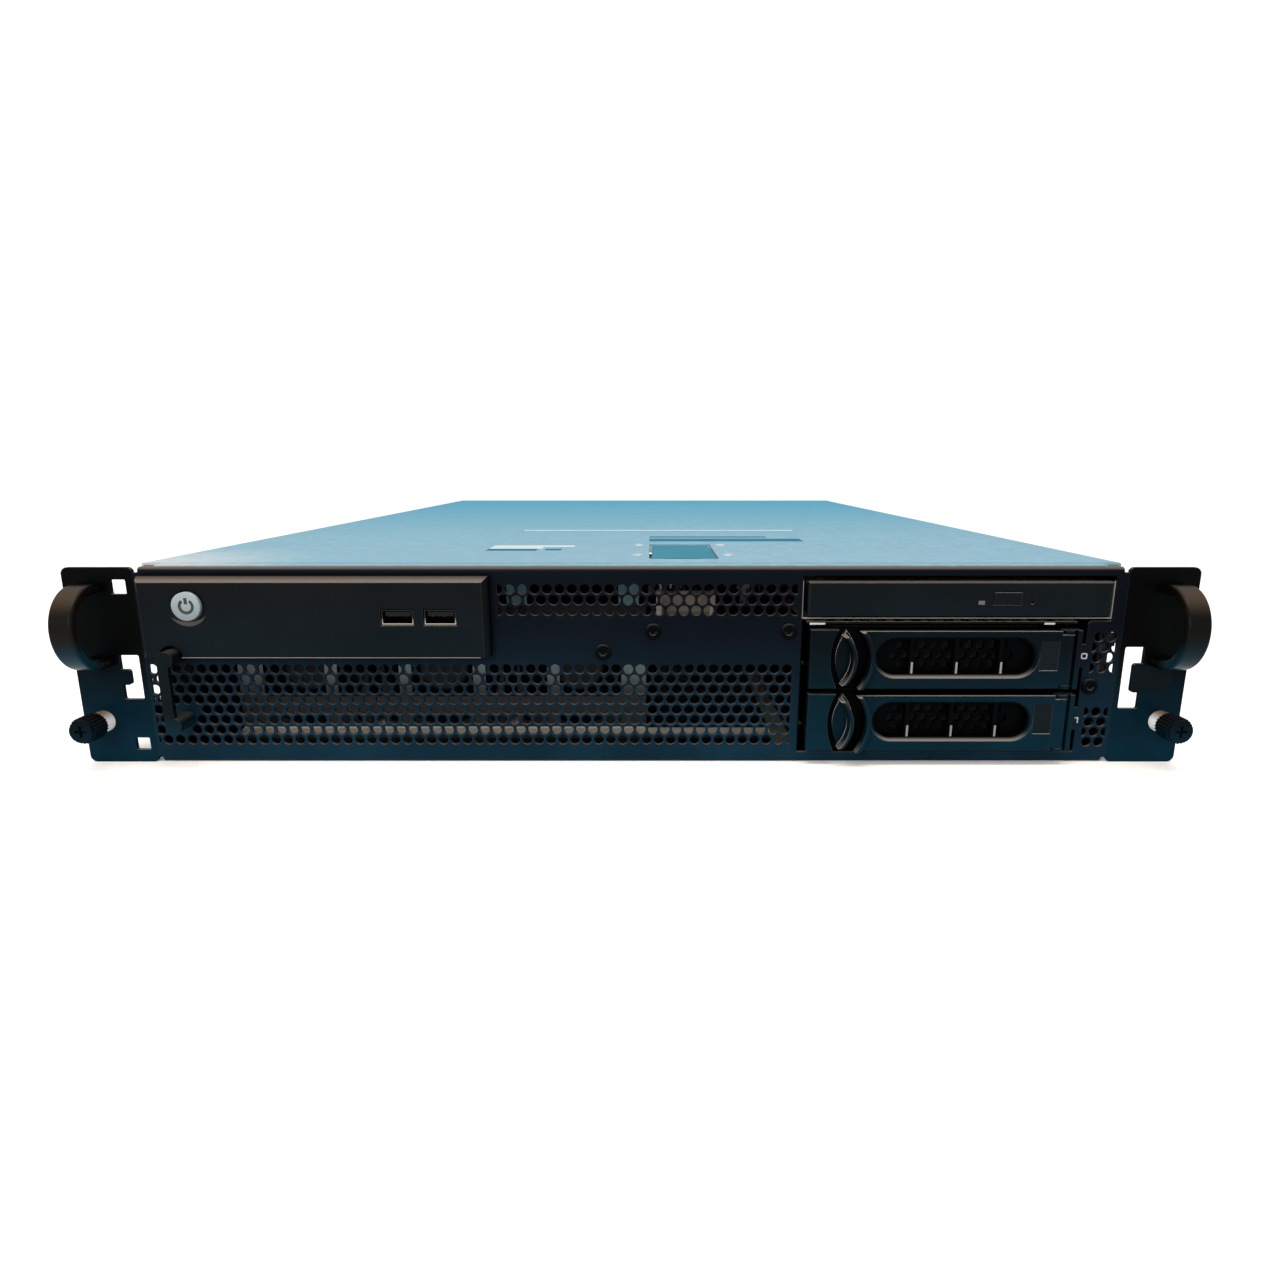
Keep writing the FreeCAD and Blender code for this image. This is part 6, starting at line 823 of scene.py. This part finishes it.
# This grey is a painted highlight, on these edges and on the ribs further down.
highlight_grey = grained("painted_edge_highlight", (0.15, 0.14, 0.13), (0.22, 0.21, 0.20), rough=0.4, scale=1500, bump=0.04,
                    gloss=0.1)
strips("drive_opening_edge", [plate(72.9, 64.9, 73.4, 80.6), plate(72.9, 64.4, 205.85, 64.9),
                              plate(205.4, 64.9, 205.85, 80.6)], on_front(depth=1.2), thick=0.8,
       material=highlight_grey, body="case")
# A near-black sheet behind the small hole patch, painted shade.
strips("shade_behind_hole_patch", [plate(202.6, 38.0, 207.0, 52.0), plate(202.6, 52.0, 209.5, 58.0)], on_front(depth=2.8),
       thick=0.8, material=dark_casting, body="case")
strips("bezel_lower_edge", [plate(-191.0, 48.75, -64.0, 49.0)], on_front(BEZEL_FRONT), PRINT_THICK, highlight_grey, "case")

# %% [markdown]
# ### Seat of the button
#
# The button sits in a hollow seat, and the lower side of that seat looks up at the light as a pale crescent, a
# highlight that is painted here as a thin strip. Its two lines are arcs round the button, and the inner one bends away
# from the outer in the middle. Like the symbol, the painted crescent follows the bowl.

# %% Crescent in the seat
SEAT_DEPTH, SEAT_FLATNESS = 1.2, 62.8
ARC_START, ARC_SWEEP, ARC_STEPS = 215, 115, 24
OUTER_ARC, INNER_ARC, WIDEST = 8.5, 8.4, 1.8

# The crescent's grey is a painted highlight.
seat_highlight_grey = grained("crescent_highlight", (0.032, 0.028, 0.025), (0.048, 0.042, 0.037), rough=0.45, scale=1500, bump=0.05,
                    gloss=0.1)
crescent = [[], []]
for t in [i / ARC_STEPS for i in range(ARC_STEPS + 1)]:
    angle = math.radians(ARC_START + ARC_SWEEP * t)
    for line, radius in zip(crescent, (OUTER_ARC, INNER_ARC - WIDEST * math.sin(math.pi * t))):
        line.append((radius * math.cos(angle), radius * math.sin(angle)))
strips("button_seat_highlight", [(*crescent, False)], in_bowl(BEZEL_FRONT + SEAT_DEPTH, SEAT_FLATNESS), thick=0.06,
       material=seat_highlight_grey, body="case")

# %% [markdown]
# ### Highlights on the ribs
#
# The ribs in the lever windows are bright where the light falls on their lower half, a painted highlight. They get thin
# strips too, which ride on the levers and swing out with them.

# %% Painted highlights on the ribs
LEVER_WINDOW = -4.6
RIB_X = (120.25, 139.4, 158.55)
RIB_HALF = 0.45

for i, bay_floor in enumerate(BAY_FLOORS):
    strips(f"rib_highlights_{i}", [plate(x - RIB_HALF, bay_floor + 6.6, x + RIB_HALF, bay_floor + 11.6) for x in RIB_X],
           on_front(LEVER_WINDOW), PRINT_THICK, highlight_grey, f"lever_{i}")

# %% [markdown]
# ### Films on the cover
#
# The cover carries a wide pale sheet of film with its back edge turned white, two blue bands on it, and a small label
# at the left. They lie flat on the cover and slide with it. Where two overlap, one is the thicker, so that their tops
# never share a plane.

# %% Films on the cover
COVER_TOP = 87.5
FILM_LEFT, FILM_RIGHT = -72.4, 98.5
LABEL_LEFT = -72.6
FOIL = 0.06


def on_cover(x, y, lift):
    """Maps across and back to the top of the cover."""
    return mm(x, y, COVER_TOP + lift)


film_blue = grained("blue_film", (0.030, 0.125, 0.200), (0.042, 0.150, 0.230), rough=0.5, scale=600, bump=0.05,
                    gloss=0.0)
COVER_FILMS = {
    "cover_film": ([plate(FILM_LEFT, 60.0, -71.8, 198.0), plate(-71.8, 112.0, FILM_RIGHT, 198.0)], 0.03, cover_sheet),
    "cover_film_edge": ([plate(FILM_LEFT, 198.0, FILM_RIGHT, 202.0)], 0.08, film_white),
    "cover_film_bands": ([plate(7.4, 116.0, 92.0, 134.0), plate(7.4, 142.0, 75.0, 150.0)], FOIL, film_blue),
    "cover_label": ([plate(LABEL_LEFT, 84.0, -31.0, 90.0), plate(LABEL_LEFT, 74.0, -46.0, 80.0)], FOIL, film_white),
    "cover_label_bands": ([plate(LABEL_LEFT, 62.0, -48.0, 72.0), plate(-44.0, 64.0, -36.0, 72.0)], FOIL, film_blue),
}
for name, (plates, thick, material) in COVER_FILMS.items():
    strips(name, plates, on_cover, thick, material, "cover")

# %% [markdown]
# ## Rows that repeat
#
# Contacts in a socket and chips on a memory board are one small block repeated at an even step. Copying meshes by hand
# is slow to change, so a geometry node tree lays a row from each start point. Its named inputs are the count, the step
# and the size. The result is turned into a plain mesh before it rides on its body.

# %% A tree that lays rows of blocks
GEOMETRY, WHOLE, FINISH = "NodeSocketGeometry", "NodeSocketInt", "NodeSocketMaterial"


def growing_tree(name, inputs, result):
    """An empty geometry tree with its inputs and its result named."""
    tree = bpy.data.node_groups.new(name, "GeometryNodeTree")
    for key, kind in inputs.items():
        tree.interface.new_socket(key, in_out="INPUT", socket_type=kind)
    tree.interface.new_socket(result, in_out="OUTPUT", socket_type=GEOMETRY)
    return tree, tree.nodes.new("NodeGroupInput"), tree.nodes.new("NodeGroupOutput")


def close_tree(tree, instances, finish, ending):
    """Ends a tree: instances become mesh, and the mesh gets its finish."""
    solid = put(tree, "GeometryNodeRealizeInstances", {"Geometry": instances})
    dress = put(tree, "GeometryNodeSetMaterial", {"Geometry": solid.outputs["Geometry"], "Material": finish})
    tree.links.new(dress.outputs["Geometry"], ending)
    print(tree.name, "with", len(tree.nodes), "nodes")


rows, rows_in, rows_out = growing_tree("rows_of_blocks", {"Starts": GEOMETRY, "Count": WHOLE, "Step": VECTOR,
                                                          "Size": VECTOR, "Finish": FINISH}, "Blocks")
line = put(rows, "GeometryNodeMeshLine", {"Count": rows_in.outputs["Count"], "Offset": rows_in.outputs["Step"]},
           mode="OFFSET")
block = put(rows, "GeometryNodeMeshCube", {"Size": rows_in.outputs["Size"]})
row = put(rows, "GeometryNodeInstanceOnPoints", {"Points": line.outputs["Mesh"], "Instance": block.outputs["Mesh"]})
whole = put(rows, "GeometryNodeGeometryToInstance", {"Geometry": row.outputs["Instances"]})
spread = put(rows, "GeometryNodeInstanceOnPoints", {"Points": rows_in.outputs["Starts"],
                                                    "Instance": whole.outputs["Instances"]})
close_tree(rows, spread.outputs["Instances"], rows_in.outputs["Finish"], rows_out.inputs["Blocks"])

# %% [markdown]
# ### From tree to mesh
#
# What rides on a body has to be a plain mesh. So the tree runs once, on a few points of the drawing. Its inputs are set
# by their identifiers before that run, the result is copied into a plain mesh, and the modifier goes away.

# %% Use a tree once and keep the plain mesh
def grow(name, tree, points, body, **values):
    """Runs the tree on points given in millimetres and lets the baked mesh ride on the body."""
    thing = plain_mesh(name, [mm(*p) for p in points], [])
    modifier = thing.modifiers.new("grow", "NODES")
    modifier.node_group = tree
    for item in tree.interface.items_tree:
        if item.in_out == "INPUT" and item.name in values:
            modifier[item.identifier] = values[item.name]
    bpy.context.view_layer.update()
    grown = thing.evaluated_get(bpy.context.evaluated_depsgraph_get())
    mesh = bpy.data.meshes.new_from_object(grown)
    thing.modifiers.clear()
    thing.data = mesh
    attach(thing, body)
    print(name, "with", len(mesh.polygons), "faces on", body)


print("grow ready")

# %% Contacts and chips
FIRST_MODULE, MODULE_STEP, CHIP_SIDE = 79.0, 9.5, 1.1

contact_gold = grained("contact_gold", (0.42, 0.28, 0.10), (0.55, 0.38, 0.15), rough=0.28, scale=1600, bump=0.03,
                       edge=0.0001, metal=0.8)
chip_black = grained("chip_black", (0.010, 0.010, 0.011), (0.016, 0.016, 0.017), rough=0.5, scale=900, bump=0.1,
                     edge=0.0002)
grow("front_socket_contacts", rows, [(-101.9, -1.4, 66.38), (-83.9, -1.4, 66.38)], "case", Count=4,
     Step=(0.0024, 0, 0), Size=(0.001, 0.006, 0.0002), Finish=contact_gold)
grow("network_socket_contacts", rows, [(-69.57, 672.0, 20.55), (-49.57, 672.0, 20.55)], "case", Count=8,
     Step=(0.00102, 0, 0), Size=(0.00045, 0.010, 0.0006), Finish=contact_gold)
grow("memory_chips", rows, [(FIRST_MODULE - MODULE_STEP * i + CHIP_SIDE, 379.0, 32.0) for i in range(8)], "case",
     Count=9, Step=(0, 0.0139, 0), Size=(0.001, 0.010, 0.012), Finish=chip_black)

# %% [markdown]
# ## Parts that stand on the main board
#
# Small cans stand on the board beside the processors, each a little taller or shorter than the next. The second tree
# puts one can on every point and draws its height from a fixed seed, so that each run gives the same board.

# %% A tree that stands cans on points
cans, cans_in, cans_out = growing_tree("standing_cans", {"Feet": GEOMETRY, "Radius": VALUE, "Lowest": VALUE,
                                                         "Highest": VALUE, "Seed": WHOLE, "Finish": FINISH}, "Cans")
can = put(cans, "GeometryNodeMeshCylinder", {"Vertices": 14, "Radius": cans_in.outputs["Radius"], "Depth": 1.0})
stand = put(cans, "GeometryNodeTransform", {"Geometry": can.outputs["Mesh"], "Translation": (0, 0, 0.5)})
tall = put(cans, "FunctionNodeRandomValue", {2: cans_in.outputs["Lowest"], 3: cans_in.outputs["Highest"],
                                             "Seed": cans_in.outputs["Seed"]}, data_type="FLOAT")
stretch = put(cans, "ShaderNodeCombineXYZ", {"X": 1.0, "Y": 1.0, "Z": tall.outputs[1]})
put_up = put(cans, "GeometryNodeInstanceOnPoints", {"Points": cans_in.outputs["Feet"],
                                                    "Instance": stand.outputs["Geometry"],
                                                    "Scale": stretch.outputs["Vector"]})
close_tree(cans, put_up.outputs["Instances"], cans_in.outputs["Finish"], cans_out.inputs["Cans"])

# %% Cans in a row
FIRST_CAN, CAN_STEP = -190.0, 12

can_metal = grained("can_aluminium", (0.55, 0.56, 0.58), (0.66, 0.67, 0.69), rough=0.35, scale=1200, bump=0.05,
                    edge=0.0002, metal=0.9)
grow("board_cans", cans, [(FIRST_CAN + CAN_STEP * i, 512.0, 9.55) for i in range(10)], "case", Radius=0.004,
     Lowest=0.008, Highest=0.012, Seed=7, Finish=can_metal)
